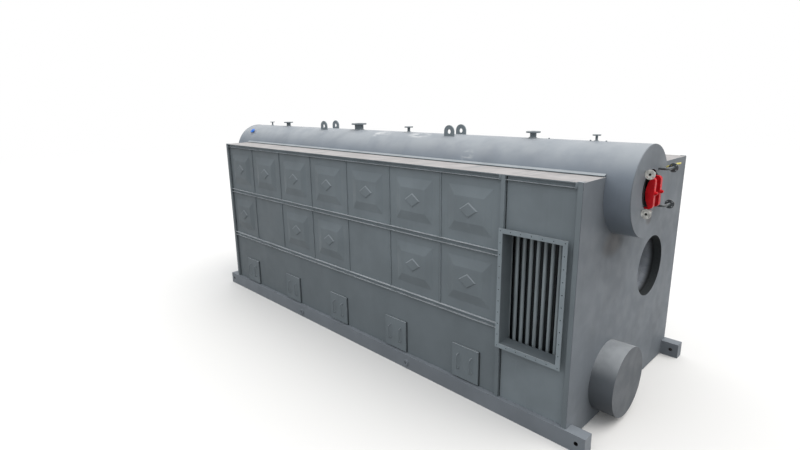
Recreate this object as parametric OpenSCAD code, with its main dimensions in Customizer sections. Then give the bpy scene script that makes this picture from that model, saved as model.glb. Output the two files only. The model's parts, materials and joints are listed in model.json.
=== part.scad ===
// Packaged water-tube boiler, ready for transport: an insulated casing on a beam skid, with the
// upper drum sunk in its roof, the lower drum low in its front, a burner opening in the front
// and a flanged flue outlet in the left side. Millimetres, +Z up, the front faces -Y, the flue
// side is at -X. The origin is on the ground, under the middle of the casing.

/* [Casing] */
// Width over the corner posts
casing_w = 3480; // [3300:10:3700]
// Height of the casing above the skid beams
casing_h = 3120; // [3000:10:3300]
// Length of one bay
bay_pitch = 1060; // [1000:5:1120]
// Number of bays along a side
bay_count = 8; // [7:1:9]
// Thickness of the insulated walls
wall_t = 110; // [90:5:130]
// Thickness of the insulated roof
roof_t = 110; // [90:5:130]
// Thickness of the insulated floor
floor_t = 100; // [80:5:120]
// Thickness of the front and rear plates
end_plate_t = 8; // [5:1:12]
// Thickness of the outer sheets
sheet_t = 5; // [3:1:8]

/* [Casing frame] */
// How far the posts and rails stand out from the sheets
frame_d = 40; // [30:1:50]
// Width of the corner posts
corner_w = 70; // [50:5:90]
// Width of the post beside the outlet bay
mullion_w = 60; // [50:2:70]
// Width of the seam posts between bays
seam_w = 26; // [20:1:34]
// How far the seam posts stand out from the sheets
seam_d = 12; // [6:1:20]
// Height of the lower and the upper rail
rail_h = 70; // [60:1:90]
// Height of the rail under the roof
top_rail_h = 62; // [54:1:90]
// Thickness of the metal of the rails
rail_t = 6; // [4:1:8]
// Height of the lower rail above the beams
low_rail_z = 1018; // [980:1:1060]
// Height of the upper rail above the beams
high_rail_z = 2038; // [2000:1:2070]

/* [Embossed panels] */
// Width of the raised field at its base
emboss_w = 750; // [640:10:790]
// Distance of the raised field from the rails above and below it
emboss_edge = 143; // [110:1:160]
// Width of the sloping border at the sides
bevel_w = 125; // [80:5:140]
// Height of the sloping border at the top and bottom
bevel_h = 145; // [100:5:160]
// Height of the raised field
emboss_d = 34; // [20:1:38]
// Width of the diamond at its base
diamond_w = 320; // [240:10:330]
// Height of the diamond at its base
diamond_h = 220; // [180:10:230]
// Width of the diamond's sloping border
diamond_bevel = 16; // [8:1:24]
// Height of the diamond above its field
diamond_d = 14; // [6:1:20]

/* [Skid] */
// Height of the skid beams
beam_h = 240; // [220:5:260]
// Width of the skid beams
beam_w = 175; // [160:5:200]
// Wall of the skid beams
beam_t = 12; // [8:1:16]
// How far the beams stand out past the posts
beam_proud = 30; // [15:1:50]
// How far the beams run past the front and rear plates
beam_reach = 270; // [220:5:320]
// Radius of the lashing holes in the beam ends
lashing_r = 28; // [20:1:34]
// Distance of the lashing holes from the beam ends
lashing_back = 116; // [90:2:150]
// Wall of the sleeve round a lashing hole
sleeve_t = 10; // [6:1:14]
// Number of cross members
cross_count = 11; // [9:2:13]
// Width of the flanges of the cross members
cross_w = 120; // [100:5:140]
// Thickness of the flanges and webs of the cross members
cross_t = 12; // [8:1:16]
// Radius of the round eyes on the beam sides
eye_r = 50; // [40:1:60]
// Radius of the hole in the round eyes
eye_hole_r = 24; // [16:1:30]
// How far the round eyes stand out
eye_t = 25; // [15:1:40]

/* [Drums] */
// Distance of the upper drum from the middle of the casing
upper_drum_x = 632; // [600:2:660]
// Depth of the upper drum's axis below the roof
upper_drum_drop = 209; // [190:2:230]
// Outer radius of the upper drum
upper_drum_r = 527; // [515:1:535]
// Distance of the lower drum from the middle of the casing
lower_drum_x = 682; // [660:2:700]
// Height of the lower drum's axis above the beams
lower_drum_z = 330; // [320:2:360]
// Outer radius of the lower drum
lower_drum_r = 440; // [425:1:448]
// Thickness of the drum plates
drum_t = 28; // [20:1:36]
// Thickness of a jacket with its insulation
jacket_t = 50; // [40:1:60]
// Thickness of the jacket's end covers
cover_t = 8; // [5:1:12]
// How far the upper drum's jacket stands out at the front
upper_front_reach = 322; // [300:2:360]
// How far the upper drum's jacket stands out at the rear
upper_rear_reach = 480; // [400:5:520]
// How far the lower drum's jacket stands out at each end
lower_reach = 315; // [290:5:340]
// Radius of the hole in the upper drum's front cover
cover_hole_r = 258; // [255:1:268]

/* [Manhole] */
// Width of the manhole
manhole_w = 320; // [300:5:330]
// Height of the manhole
manhole_h = 420; // [400:5:430]
// Thickness of the ring round the manhole
manhole_ring_t = 22; // [16:1:26]
// Length of the ring round the manhole
manhole_ring_l = 110; // [100:2:130]
// Distance between the two yokes
yoke_pitch = 188; // [160:2:200]
// Width of a yoke's bar
yoke_w = 58; // [40:2:64]
// Height of a yoke over both ends
yoke_h = 384; // [372:2:400]
// How far the yokes stand out from the ring
yoke_d = 102; // [96:1:110]
// Radius of a yoke's boss
yoke_boss_r = 22; // [18:1:28]

/* [Gauge connections] */
// Distance of the gauge pipes from the drum's axis, across
gauge_x = 215; // [210:1:225]
// Height of the upper gauge pipes above the drum's axis
gauge_up = 262; // [240:1:280]
// Depth of the lower gauge pipes below the drum's axis
gauge_down = 200; // [196:1:215]
// Outer radius of the gauge pipes
gauge_pipe_r = 17; // [14:1:20]
// Distance of the gauge pipes' bends from the front cover
gauge_front = 115; // [95:1:130]
// Distance of the gauge flanges' faces from the drum's axis
gauge_reach = 400; // [370:2:420]

/* [Nozzles] */
// Outer radius of the steam outlet pipe
steam_pipe_r = 84; // [76:1:90]
// Outer radius of the safety valve pipes
valve_pipe_r = 44.5; // [38:0.5:50]
// Outer radius of the auxiliary pipe
aux_pipe_r = 24; // [20:1:28]
// Outer radius of the small pipes
small_pipe_r = 16; // [13:1:18]
// Height of the steam outlet above the jacket
steam_rise = 118; // [100:2:140]
// Height of the other nozzles above the jacket
nozzle_rise = 94; // [80:2:110]

/* [Lifting lugs] */
// Length of a lug along the drum
lug_l = 200; // [170:5:230]
// Height of a lug above the top of the jacket
lug_h = 150; // [120:5:170]
// Thickness of a lug
lug_t = 22; // [16:1:30]
// Distance between the two lugs of a pair
lug_gap = 300; // [240:10:340]
// Radius of the hole in a lug
lug_hole_r = 35; // [28:1:40]

/* [Burner opening] */
// Distance of the burner opening from the middle of the casing
burner_x = 630; // [600:5:680]
// Height of the burner opening above the beams
burner_z = 1578; // [1500:5:1650]
// Radius of the burner opening
burner_r = 462; // [400:2:480]
// Thickness of the burner throat
throat_t = 60; // [40:5:80]
// Length of the burner throat behind the front wall
throat_l = 420; // [300:10:520]

/* [Flue outlet] */
// Width of the flue outlet
outlet_w = 830; // [780:5:850]
// Height of the flue outlet
outlet_h = 1535; // [1450:5:1600]
// Distance of the outlet's middle from the front plate
outlet_y = 592; // [585:1:600]
// Height of the outlet's middle above the beams
outlet_z = 1607; // [1580:1:1640]
// Width of the outlet flange's bars
flange_bar_w = 60; // [50:1:64]
// Thickness of the outlet flange
flange_t = 10; // [8:1:16]
// How far the flange stands out past the posts
flange_reach = 50; // [40:1:70]
// Thickness of the duct's plates
duct_t = 8; // [5:1:10]
// How far the duct runs into the casing past the wall
duct_in = 25; // [10:1:30]
// Radius of the flange's bolt holes
flange_hole_r = 7; // [5:0.5:9]
// Distance between the flange's bolt holes, at most
flange_hole_pitch = 160; // [140:5:200]

/* [Boiler tubes] */
// Radius of the boiler tubes
tube_r = 25.5; // [22:0.5:28]
// Distance between tubes along the drums
tube_pitch = 102; // [95:1:110]
// Distance between rows of tubes
row_pitch = 104; // [95:1:115]
// Number of tubes in a row behind the outlet
tube_count = 10; // [9:1:12]
// Distance of the first row of tubes from the duct
tube_gap = 40; // [30:1:50]
// Thickness of the wall between the tubes and the furnace
division_t = 60; // [50:2:70]

/* [Access covers] */
// Width of an access cover
access_w = 480; // [420:5:520]
// Height of an access cover
access_h = 520; // [460:5:560]
// Thickness of an access cover
access_t = 30; // [20:1:36]
// Height of the covers above the beams
access_z = 20; // [10:1:40]
// Length of a bow handle
handle_l = 250; // [200:5:280]
// How far a bow handle stands out
handle_d = 48; // [38:1:60]
// Radius of a bow handle's rod
handle_r = 7; // [5:0.5:9]

/* [Hidden] */

$fn = 72;
paint = "#71787c";
frame_paint = "#666d71";
dark_steel = "#4c5053";
yoke_red = "#c8202a";
bare_flange = "#b9bbba";
brick = "#8d8378";

// Play between a piece and the hole or pocket that takes it
fit = 0.3;

// Cover strips along the upper drum: reach from where the jacket meets the roof, height at the
// jacket, gap above the roof, place of the leg under them, thickness, distance from the ends
strip_reach = 42;
strip_rise = 32;
strip_gap = 12;
strip_leg = 20;
strip_t = 5;
strip_back = 8;

// Planes and levels
casing_l = bay_pitch * bay_count;
x_out = casing_w / 2;
x_sheet = x_out - frame_d;
x_wall = x_sheet - sheet_t;
x_in = x_wall - wall_t;
y_front = -casing_l / 2;
y_rear = casing_l / 2;
y_in_front = y_front + wall_t;
y_in_rear = y_rear - wall_t;
y_mullion = y_front + bay_pitch;
z_top = beam_h + casing_h;
z_under_roof = z_top - roof_t;
z_floor = beam_h + floor_t;

// Skid
beam_x_out = x_out + beam_proud;
beam_x_in = beam_x_out - beam_w;
beam_y = y_rear + beam_reach;
skirt_z = 14;
lashing_z = beam_h * 0.53;
cross_span = casing_l - cross_w - 2 * end_plate_t;
eye_z = beam_h * 0.46;
// Places of the round eyes, as shares of the casing's length from the front
eye_places = [0.328, 0.679];

// Rails of the side casing: heights and lower edges
rail_heights = [rail_h, rail_h, top_rail_h];
top_rail_z = z_top - end_plate_t - top_rail_h;
rail_levels = [beam_h + low_rail_z, beam_h + high_rail_z, top_rail_z];

// Drums
upper_x = -upper_drum_x;
upper_z = z_top - upper_drum_drop;
upper_jacket_r = upper_drum_r + jacket_t;
lower_x = -lower_drum_x;
lower_z = beam_h + lower_drum_z;
lower_jacket_r = lower_drum_r + jacket_t;
crown_z = upper_z + upper_jacket_r;
upper_y_front = y_front - upper_front_reach;
upper_y_rear = y_rear + upper_rear_reach;
lower_y_front = y_front - lower_reach;
lower_y_rear = y_rear + lower_reach;
head_depth = upper_drum_r / 2;
lower_head_depth = lower_drum_r / 2;
head_clear = 40;
upper_head_y = upper_y_front + cover_t + head_clear + head_depth;
upper_tail_y = upper_y_rear - cover_t - head_clear - head_depth;
lower_head_y = lower_y_front + cover_t + head_clear + lower_head_depth;
lower_tail_y = lower_y_rear - cover_t - head_clear - lower_head_depth;

// Manhole: its ring, the cover seated behind it and the yokes in front
cover_hole_up = 20;
manhole_inset = 14;
manhole_face_y = upper_y_front + manhole_inset;
manhole_seat_y = manhole_face_y + manhole_ring_l;
manhole_reach = 60;
cover_seat = 14;
cover_plate_t = 26;
cover_lip = 12;
cover_play = 4;
yoke_corner_r = 45;
yoke_foot_t = 14;
yoke_foot_l = 50;
yoke_belly = 48;
yoke_boss_l = 22;
yoke_stud_r = 14;

// Radius of the gauge pipes' bends
gauge_bend = 45;

// Places along the upper drum, as shares of the casing's length from the front
small_places = [0.047, 0.976];
valve_places = [0.156, 0.895];
aux_place = 0.446;
steam_place = 0.604;
front_lug_place = 0.323;
rear_lug_place = 0.713;

// The stub on the drum's flank: distance behind the casing, angle from the vertical, height
stub_behind = 28;
stub_angle = 41;
stub_rise = 46;

// Flanges: outer radius, thickness, bolt circle radius, bolt hole radius, number of bolt holes
steam_flange = [142.5, 24, 120, 11, 8];
valve_flange = [100, 20, 80, 9, 8];
aux_flange = [75, 18, 55, 9, 4];
small_flange = [52.5, 14, 37.5, 7, 4];
gauge_flange = [57.5, 14, 42.5, 7, 4];

// Flue outlet
flange_x = x_out + flange_reach;
duct_end_x = x_in - duct_in;
outlet_yc = y_front + outlet_y;
outlet_zc = beam_h + outlet_z;
first_row_x = duct_end_x - tube_gap - tube_r;

// Tube rows behind the outlet
tube_rows = 3;
elbow_proud = 1;
// Angles from the vertical at which the rows meet the drums: the first row's, and the step
upper_entry = 62;
upper_step = 8;
lower_entry = 75;
lower_step = 9;
last_tube_y = outlet_yc + outlet_w / 2 + 1.5 * tube_pitch;

// Furnace
burner_zc = beam_h + burner_z;
division_x = 2 * burner_x - x_in;

// Middles of the access covers, as shares of the casing's length from the front
access_places = [0.191, 0.362, 0.541, 0.720, 0.911];

// Shared shapes

// A box between two corners
module span(low, high) {
    translate(low) cube(high - low);
}

// A round bar or hole along Y
module bar_y(x, z, y0, y1, r) {
    translate([x, y0, z]) rotate([-90, 0, 0])
        cylinder(h = y1 - y0, r = r, $fn = r > 200 ? 300 : $fn);
}

// A round bar or hole along X
module bar_x(y, z, x0, x1, r) {
    translate([x0, y, z]) rotate([0, 90, 0]) cylinder(h = x1 - x0, r = r);
}

// Pieces drawn for the left side, moved to the side given: -1 left, 1 right
module on_side(side) {
    if (side < 0) children();
    else mirror([1, 0, 0]) children();
}

// A prism whose outline is drawn in X and Z, from y0 to y1
module prism_y(y0, y1) {
    translate([0, y1, 0]) rotate([90, 0, 0]) linear_extrude(y1 - y0) children();
}

// Casing walls

// The two drums, as cutters that leave play round them
module drum_cutters(upper_r, lower_r) {
    bar_y(upper_x, upper_z, 2 * lower_y_front, 2 * lower_y_rear, upper_r + fit);
    bar_y(lower_x, lower_z, 2 * lower_y_front, 2 * lower_y_rear, lower_r + fit);
}

// An end wall at the front: a full-width plate with the insulated wall behind it
module end_wall_blank() {
    span([-x_out, y_front, beam_h], [x_out, y_front + end_plate_t, z_top]);
    span([-x_wall, y_front + end_plate_t, beam_h], [x_wall, y_in_front, z_top]);
    span([-beam_x_in + fit, y_front, skirt_z],
        [beam_x_in - fit, y_front + end_plate_t, beam_h]);
}

module front_wall() {
    color(paint) difference() {
        end_wall_blank();
        drum_cutters(upper_jacket_r, lower_jacket_r);
        bar_y(burner_x, burner_zc, y_front - 1, y_in_front + 1, burner_r);
    }
}

module rear_wall() {
    color(paint) difference() {
        mirror([0, 1, 0]) end_wall_blank();
        drum_cutters(upper_jacket_r, lower_jacket_r);
    }
}

module left_wall() {
    color(paint) span([-x_wall, y_mullion, beam_h], [-x_in, y_in_rear, z_under_roof]);
}

module right_wall() {
    color(paint) span([x_in, y_in_front, beam_h], [x_wall, y_in_rear, z_under_roof]);
}

module outlet_bay_wall() {
    color(paint) difference() {
        span([-x_wall, y_in_front, beam_h], [-x_in, y_mullion, z_under_roof]);
        outlet_hole();
    }
}

// The way through the casing for the duct
module outlet_hole() {
    half_w = outlet_w / 2 + duct_t + fit;
    half_h = outlet_h / 2 + duct_t + fit;
    span([-flange_x, outlet_yc - half_w, outlet_zc - half_h],
        [-x_in + 1, outlet_yc + half_w, outlet_zc + half_h]);
}

// A roof slab from the wall to under the drum, with a plate that reaches over the rails
module roof_blank(x_end) {
    span([-x_wall, y_in_front, z_under_roof], [x_end, y_in_rear, z_top]);
    span([-x_out, y_front + end_plate_t, z_top - end_plate_t],
        [-x_wall, y_rear - end_plate_t, z_top]);
}

module roof_left() {
    color(paint) difference() {
        roof_blank(upper_x);
        bar_y(upper_x, upper_z, y_front, y_rear, upper_jacket_r + fit);
    }
}

module roof_right() {
    color(paint) difference() {
        on_side(1) roof_blank(-upper_x);
        bar_y(upper_x, upper_z, y_front, y_rear, upper_jacket_r + fit);
    }
}

module floor_slab() {
    color(dark_steel) difference() {
        span([-x_in, y_in_front, beam_h], [x_in, y_in_rear, z_floor]);
        bar_y(lower_x, lower_z, y_front, y_rear, lower_drum_r + fit);
    }
}

// The wall of tubes between the drums, on the furnace's left
module division_wall() {
    color(dark_steel) difference() {
        span([division_x - division_t, y_in_front, lower_z], [division_x, y_in_rear, upper_z]);
        drum_cutters(upper_drum_r, lower_drum_r);
    }
}

// Casing frame

// A post on the left side, from the wall out
module post(y0, y1, depth, z0, z1) {
    span([-x_wall - sheet_t - depth, y0, z0], [-x_wall, y1, z1]);
}

module posts(first_bay) {
    post(y_front + end_plate_t, y_front + corner_w, frame_d, beam_h, z_top - end_plate_t);
    post(y_rear - corner_w, y_rear - end_plate_t, frame_d, beam_h, z_top - end_plate_t);
    if (first_bay > 0) {
        mullion_y0 = y_mullion - mullion_w / 2;
        post(mullion_y0, mullion_y0 + mullion_w, frame_d, beam_h, z_top - end_plate_t);
    }
    for (bay = [first_bay + 1 : bay_count - 1]) {
        y = y_front + bay * bay_pitch - seam_w / 2;
        for (row = [0, 1])
            post(y, y + seam_w, seam_d, rail_levels[row] + rail_heights[row], rail_levels[row + 1]);
    }
}

module left_posts() {
    color(frame_paint) posts(1);
}

module right_posts() {
    color(frame_paint) on_side(1) posts(0);
}

// A channel along the side, open outwards
module rail(row, y0, y1) {
    h = rail_heights[row];
    prism_y(y0, y1) translate([-x_out, rail_levels[row]]) difference() {
        square([frame_d + sheet_t, h]);
        translate([-1, rail_t]) square([frame_d + sheet_t - rail_t + 1, h - 2 * rail_t]);
    }
}

module rails(first_bay) {
    y_start = first_bay > 0 ? y_mullion + mullion_w / 2 : y_front + corner_w;
    for (row = [0 : 2]) rail(row, y_start + fit, y_rear - corner_w - fit);
    if (first_bay > 0) rail(2, y_front + corner_w + fit, y_mullion - mullion_w / 2 - fit);
}

module left_rails() {
    color(frame_paint) rails(1);
}

module right_rails() {
    color(frame_paint) on_side(1) rails(0);
}

// Side sheets

// A four-sided prism along Y or Z whose base is wider than its top
module sloped_bar(length, base, top, height) {
    linear_extrude(length) polygon([[0, -base / 2], [0, base / 2], [-height, top / 2],
        [-height, -top / 2]]);
}

// A raised field with four sloping borders, on the plane x = 0 and towards -X
module raised_field(base_w, base_h, top_w, top_h, height) {
    intersection() {
        translate([0, 0, -base_h]) sloped_bar(2 * base_h, base_w, top_w, height);
        translate([0, base_w, 0]) rotate([90, 0, 0]) sloped_bar(2 * base_w, base_h, top_h, height);
    }
}

// A raised diamond with sloping borders, on the plane x = 0 and towards -X
module diamond() {
    half = [diamond_w / 2, diamond_h / 2];
    across = 2 * half.x * half.y / norm(half);
    slant = atan2(half.x, half.y);
    intersection() {
        diamond_bar(slant, across);
        diamond_bar(-slant, across);
    }
}

// A sloping bar that gives the diamond two of its sides
module diamond_bar(turn, across) {
    rotate([turn, 0, 0]) translate([0, 0, -diamond_w])
        sloped_bar(2 * diamond_w, across, across - 2 * diamond_bevel, diamond_d);
}

// A sheet with a pressed field and diamond, on the left side between two posts and two rails
module embossed_sheet(y0, y1, z0, z1) {
    plain_sheet(y0, y1, z0, z1);
    base_h = z1 - z0 - 2 * emboss_edge;
    translate([-x_sheet, (y0 + y1) / 2, (z0 + z1) / 2]) {
        raised_field(emboss_w, base_h, emboss_w - 2 * bevel_w, base_h - 2 * bevel_h, emboss_d);
        translate([-emboss_d, 0, 0]) diamond();
    }
}

module plain_sheet(y0, y1, z0, z1) {
    span([-x_sheet, y0, z0], [-x_wall, y1, z1]);
}

// Sheets of one row; plain_bays lists the bays, counted from the front, that have no pressing
module sheet_row(first_bay, row, plain_bays) {
    z0 = rail_levels[row] + rail_heights[row] + fit;
    z1 = rail_levels[row + 1] - fit;
    for (bay = [first_bay : bay_count - 1]) {
        front_post = bay == 0 ? 2 * corner_w : bay == 1 && first_bay == 1 ? mullion_w : seam_w;
        rear_post = bay == bay_count - 1 ? 2 * corner_w : seam_w;
        y0 = y_front + bay * bay_pitch + front_post / 2 + fit;
        y1 = y_front + (bay + 1) * bay_pitch - rear_post / 2 - fit;
        if (len(search(bay, plain_bays)) > 0) plain_sheet(y0, y1, z0, z1);
        else embossed_sheet(y0, y1, z0, z1);
    }
}

module left_panels() {
    color(paint) {
        sheet_row(1, 0, [3, 6]);
        sheet_row(1, 1, []);
    }
}

module right_panels() {
    color(paint) on_side(1) {
        sheet_row(0, 0, [3, 6]);
        sheet_row(0, 1, []);
    }
}

module left_lower_sheets() {
    color(paint) plain_sheet(y_mullion + mullion_w / 2 + fit, y_rear - corner_w - fit,
        beam_h, rail_levels[0] - fit);
}

module right_lower_sheets() {
    color(paint) on_side(1) plain_sheet(y_front + corner_w + fit, y_rear - corner_w - fit,
        beam_h, rail_levels[0] - fit);
}

module outlet_bay_sheet() {
    color(paint) difference() {
        plain_sheet(y_front + corner_w + fit, y_mullion - mullion_w / 2 - fit,
            beam_h, top_rail_z - fit);
        outlet_hole();
    }
}

// A leaning cover strip on a leg along each side of the upper drum, a little above the roof
module drum_edge_strips() {
    roof_x = sqrt(upper_jacket_r ^ 2 - upper_drum_drop ^ 2);
    top_x = sqrt(upper_jacket_r ^ 2 - (upper_drum_drop + strip_rise) ^ 2) + fit;
    color(frame_paint) for (side = [-1, 1])
        translate([upper_x, 0, z_top]) mirror([side < 0 ? 1 : 0, 0, 0])
            prism_y(y_front + strip_back, y_rear - strip_back) {
                polygon([[top_x, strip_rise], [roof_x + strip_reach, strip_gap],
                    [roof_x + strip_reach, strip_gap + strip_t], [top_x, strip_rise + strip_t]]);
                translate([roof_x + strip_leg, 0])
                    square([strip_t, (strip_rise + strip_gap) / 2]);
            }
}

// Skid

// A closed box beam with a lashing hole near each end
module skid_beam() {
    inner = beam_t;
    difference() {
        span([-beam_x_out, -beam_y, 0], [-beam_x_in, beam_y, beam_h]);
        difference() {
            span([-beam_x_out + inner, -beam_y + inner, inner],
                [-beam_x_in - inner, beam_y - inner, beam_h - inner]);
            lashing_holes(lashing_r + sleeve_t);
        }
        lashing_holes(lashing_r);
    }
}

module lashing_holes(r) {
    for (y = [-beam_y + lashing_back, beam_y - lashing_back])
        bar_x(y, lashing_z, -beam_x_out - 1, -beam_x_in + 1, r);
}

module skid_beam_left() {
    color(paint) skid_beam();
}

module skid_beam_right() {
    color(paint) on_side(1) skid_beam();
}

// The cross members, hollowed where the lower drum lies in them
module skid_cross_members() {
    web = cross_t;
    color(frame_paint) difference() {
        for (i = [0 : cross_count - 1]) {
            y = -cross_span / 2 + i * cross_span / (cross_count - 1);
            span([-beam_x_in, y - cross_w / 2, 0], [beam_x_in, y + cross_w / 2, cross_t]);
            span([-beam_x_in, y - web / 2, cross_t], [beam_x_in, y + web / 2, beam_h - cross_t]);
            span([-beam_x_in, y - cross_w / 2, beam_h - cross_t],
                [beam_x_in, y + cross_w / 2, beam_h]);
        }
        bar_y(lower_x, lower_z, y_front - 1, y_rear + 1, lower_jacket_r + fit);
    }
}

module beam_eyes() {
    color(frame_paint) for (side = [-1, 1], share = eye_places) on_side(side)
        difference() {
            y = y_front + share * casing_l;
            bar_x(y, eye_z, -beam_x_out - eye_t, -beam_x_out, eye_r);
            bar_x(y, eye_z, -beam_x_out - eye_t - 1, -beam_x_out + 1, eye_hole_r);
        }
}

// Drums

// A quarter of an ellipse from the rim to the pole: radius r, depth d, moved up by z
function head_points(r, d, z, side) =
    [for (a = [0 : 6 : 90]) [r * cos(a), z + side * d * sin(a)]];

// A closed vessel on the Z axis with domed heads from z0 to z1
module vessel(r, z0, z1) {
    inner = r - drum_t;
    rotate_extrude() difference() {
        polygon(concat(head_points(r, r / 2, z1, 1), [[0, z0 - r / 2]],
            [for (a = [84 : -6 : 0]) [r * cos(a), z0 - r / 2 * sin(a)]]));
        polygon(concat(head_points(inner, r / 2 - drum_t, z1, 1), [[0, z0 - r / 2 + drum_t]],
            [for (a = [84 : -6 : 0]) [inner * cos(a), z0 - (r / 2 - drum_t) * sin(a)]]));
    }
}

// An upright oval with round ends, as a prism along Y
module oval(w, h, y0, y1) {
    flat = (h - w) / 2;
    translate([upper_x, 0, upper_z]) prism_y(y0, y1) {
        translate([0, flat]) circle(d = w);
        translate([0, -flat]) circle(d = w);
        translate([-w / 2, -flat]) square([w, 2 * flat]);
    }
}

module upper_drum() {
    grow = 2 * (manhole_ring_t + fit);
    color(dark_steel) difference() {
        translate([upper_x, 0, upper_z]) rotate([-90, 0, 0])
            vessel(upper_drum_r, upper_head_y, upper_tail_y);
        oval(manhole_w + grow, manhole_h + grow, manhole_face_y, manhole_seat_y + manhole_reach);
        nozzle_holes(0);
    }
}

module lower_drum() {
    color(dark_steel) translate([lower_x, 0, lower_z]) rotate([-90, 0, 0])
        vessel(lower_drum_r, lower_head_y, lower_tail_y);
}

// The jacket: a full round in front of and behind the casing, and its roof part between
module upper_drum_jacket() {
    color(paint) difference() {
        bar_y(upper_x, upper_z, upper_y_front + cover_t, upper_y_rear - cover_t, upper_jacket_r);
        bar_y(upper_x, upper_z, upper_y_front, upper_y_rear, upper_drum_r + fit);
        span([-x_out, y_in_front, 0], [x_out, y_in_rear, z_under_roof]);
        nozzle_holes(1);
    }
}

module upper_drum_front_cover() {
    color(paint) difference() {
        bar_y(upper_x, upper_z, upper_y_front, upper_y_front + cover_t, upper_jacket_r);
        bar_y(upper_x, upper_z + cover_hole_up, upper_y_front - 1, upper_y_front + cover_t + 1,
            cover_hole_r);
        for (side = [-1, 1], up = [-gauge_down, gauge_up])
            bar_y(upper_x + side * gauge_x, upper_z + up, upper_y_front - 1,
                upper_y_front + cover_t + 1, gauge_pipe_r + fit);
    }
}

module upper_drum_rear_cover() {
    color(paint) bar_y(upper_x, upper_z, upper_y_rear - cover_t, upper_y_rear, upper_jacket_r);
}

module lower_drum_jackets() {
    color(paint) difference() {
        union() {
            bar_y(lower_x, lower_z, lower_y_front, y_in_front, lower_jacket_r);
            bar_y(lower_x, lower_z, y_in_rear, lower_y_rear, lower_jacket_r);
        }
        bar_y(lower_x, lower_z, lower_y_front + cover_t, lower_y_rear - cover_t,
            lower_drum_r + fit);
    }
}

// Manhole

// The ring welded into the drum's head, its face just behind the front cover
module manhole_ring() {
    color(dark_steel) difference() {
        oval(manhole_w + 2 * manhole_ring_t, manhole_h + 2 * manhole_ring_t, manhole_face_y,
            manhole_seat_y);
        oval(manhole_w, manhole_h, manhole_face_y - 1, manhole_seat_y + 1);
    }
}

module manhole_cover() {
    color(dark_steel) {
        oval(manhole_w + 2 * cover_seat, manhole_h + 2 * cover_seat, manhole_seat_y,
            manhole_seat_y + cover_plate_t);
        oval(manhole_w - 2 * cover_play, manhole_h - 2 * cover_play, manhole_seat_y - cover_lip,
            manhole_seat_y);
    }
}

// A point on a rounded outer corner of a yoke, in Y and Z; side is -1 below and 1 above
function yoke_corner(a, side) = [yoke_corner_r - yoke_d - yoke_corner_r * sin(a),
    side * (yoke_h / 2 - yoke_corner_r + yoke_corner_r * cos(a))];

// A point on a yoke's belly towards the manhole, at a share of the height between its feet
function yoke_back(share) = [-yoke_foot_l + yoke_belly * (1 - share ^ 2),
    share * (yoke_h / 2 - yoke_foot_t)];

// One plate over the manhole, drawn in Y and Z, with a foot at each end and a boss for its stud
module yoke() {
    end = yoke_h / 2;
    translate([-yoke_w / 2, 0, 0]) rotate([90, 0, 90]) linear_extrude(yoke_w)
        polygon(concat([[0, yoke_foot_t - end], [0, -end]],
            [for (a = [0 : 15 : 90]) yoke_corner(a, -1)],
            [for (a = [90 : -15 : 0]) yoke_corner(a, 1)], [[0, end], [0, end - yoke_foot_t]],
            [for (share = [1 : -0.125 : -1]) yoke_back(share)]));
    bar_y(0, 0, -yoke_d - yoke_boss_l, -yoke_d + 1, yoke_boss_r);
}

module manhole_yokes() {
    color(yoke_red) for (side = [-1, 1]) {
        x = upper_x + side * yoke_pitch / 2;
        translate([x, manhole_face_y, upper_z]) yoke();
        bar_y(x, upper_z, manhole_face_y - yoke_foot_l / 2, manhole_seat_y - cover_lip,
            yoke_stud_r);
    }
}

// Pipes and flanges

// A flanged pipe that stands on the XY plane and ends at height h
module flanged_pipe(pipe_r, bore_r, flange, z0, h) {
    difference() {
        union() {
            translate([0, 0, z0]) cylinder(h = h - z0, r = pipe_r);
            translate([0, 0, h - flange[1]]) cylinder(h = flange[1], r = flange[0]);
        }
        translate([0, 0, z0 - 1]) cylinder(h = h - z0 + 2, r = bore_r);
        for (i = [0 : flange[4] - 1])
            rotate([0, 0, (i + 0.5) * 360 / flange[4]])
                translate([flange[2], 0, h - flange[1] - 1])
                    cylinder(h = flange[1] + 2, r = flange[3]);
    }
}

function bore_of(pipe_r) = pipe_r * 0.87;

// Nozzles of the upper drum: share of the length, pipe radius
nozzle_list = concat([for (share = small_places) [share, small_pipe_r]],
    [for (share = valve_places) [share, valve_pipe_r]],
    [[aux_place, aux_pipe_r], [steam_place, steam_pipe_r]]);

// Holes for the nozzles: in the jacket round their pipes, in the drum at their bores
module nozzle_holes(in_jacket) {
    for (nozzle = nozzle_list) {
        r = in_jacket > 0 ? nozzle[1] + fit : bore_of(nozzle[1]);
        translate([upper_x, y_front + nozzle[0] * casing_l, upper_z])
            cylinder(h = 2 * upper_jacket_r, r = r);
    }
    stub_r = in_jacket > 0 ? small_pipe_r + fit : bore_of(small_pipe_r);
    place_stub() cylinder(h = 2 * upper_jacket_r, r = stub_r);
}

// A flanged nozzle on the crown of the upper drum
module nozzle(share, pipe_r, flange, rise) {
    difference() {
        translate([upper_x, y_front + share * casing_l, upper_z])
            flanged_pipe(pipe_r, bore_of(pipe_r), flange, upper_drum_r - 40,
                upper_jacket_r + rise);
        bar_y(upper_x, upper_z, y_front, y_rear, upper_drum_r + fit);
    }
}

module steam_outlet() {
    color(paint) nozzle(steam_place, steam_pipe_r, steam_flange, steam_rise);
}

module valve_nozzles() {
    color(paint) for (share = valve_places)
        nozzle(share, valve_pipe_r, valve_flange, nozzle_rise);
}

module auxiliary_nozzle() {
    color(paint) nozzle(aux_place, aux_pipe_r, aux_flange, nozzle_rise);
}

module small_nozzles() {
    color(paint) for (share = small_places)
        nozzle(share, small_pipe_r, small_flange, nozzle_rise - 10);
}

// The frame of the short stub on the flue side of the upper drum
module place_stub() {
    translate([upper_x, y_rear + stub_behind, upper_z]) rotate([0, -stub_angle, 0]) children();
}

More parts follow.
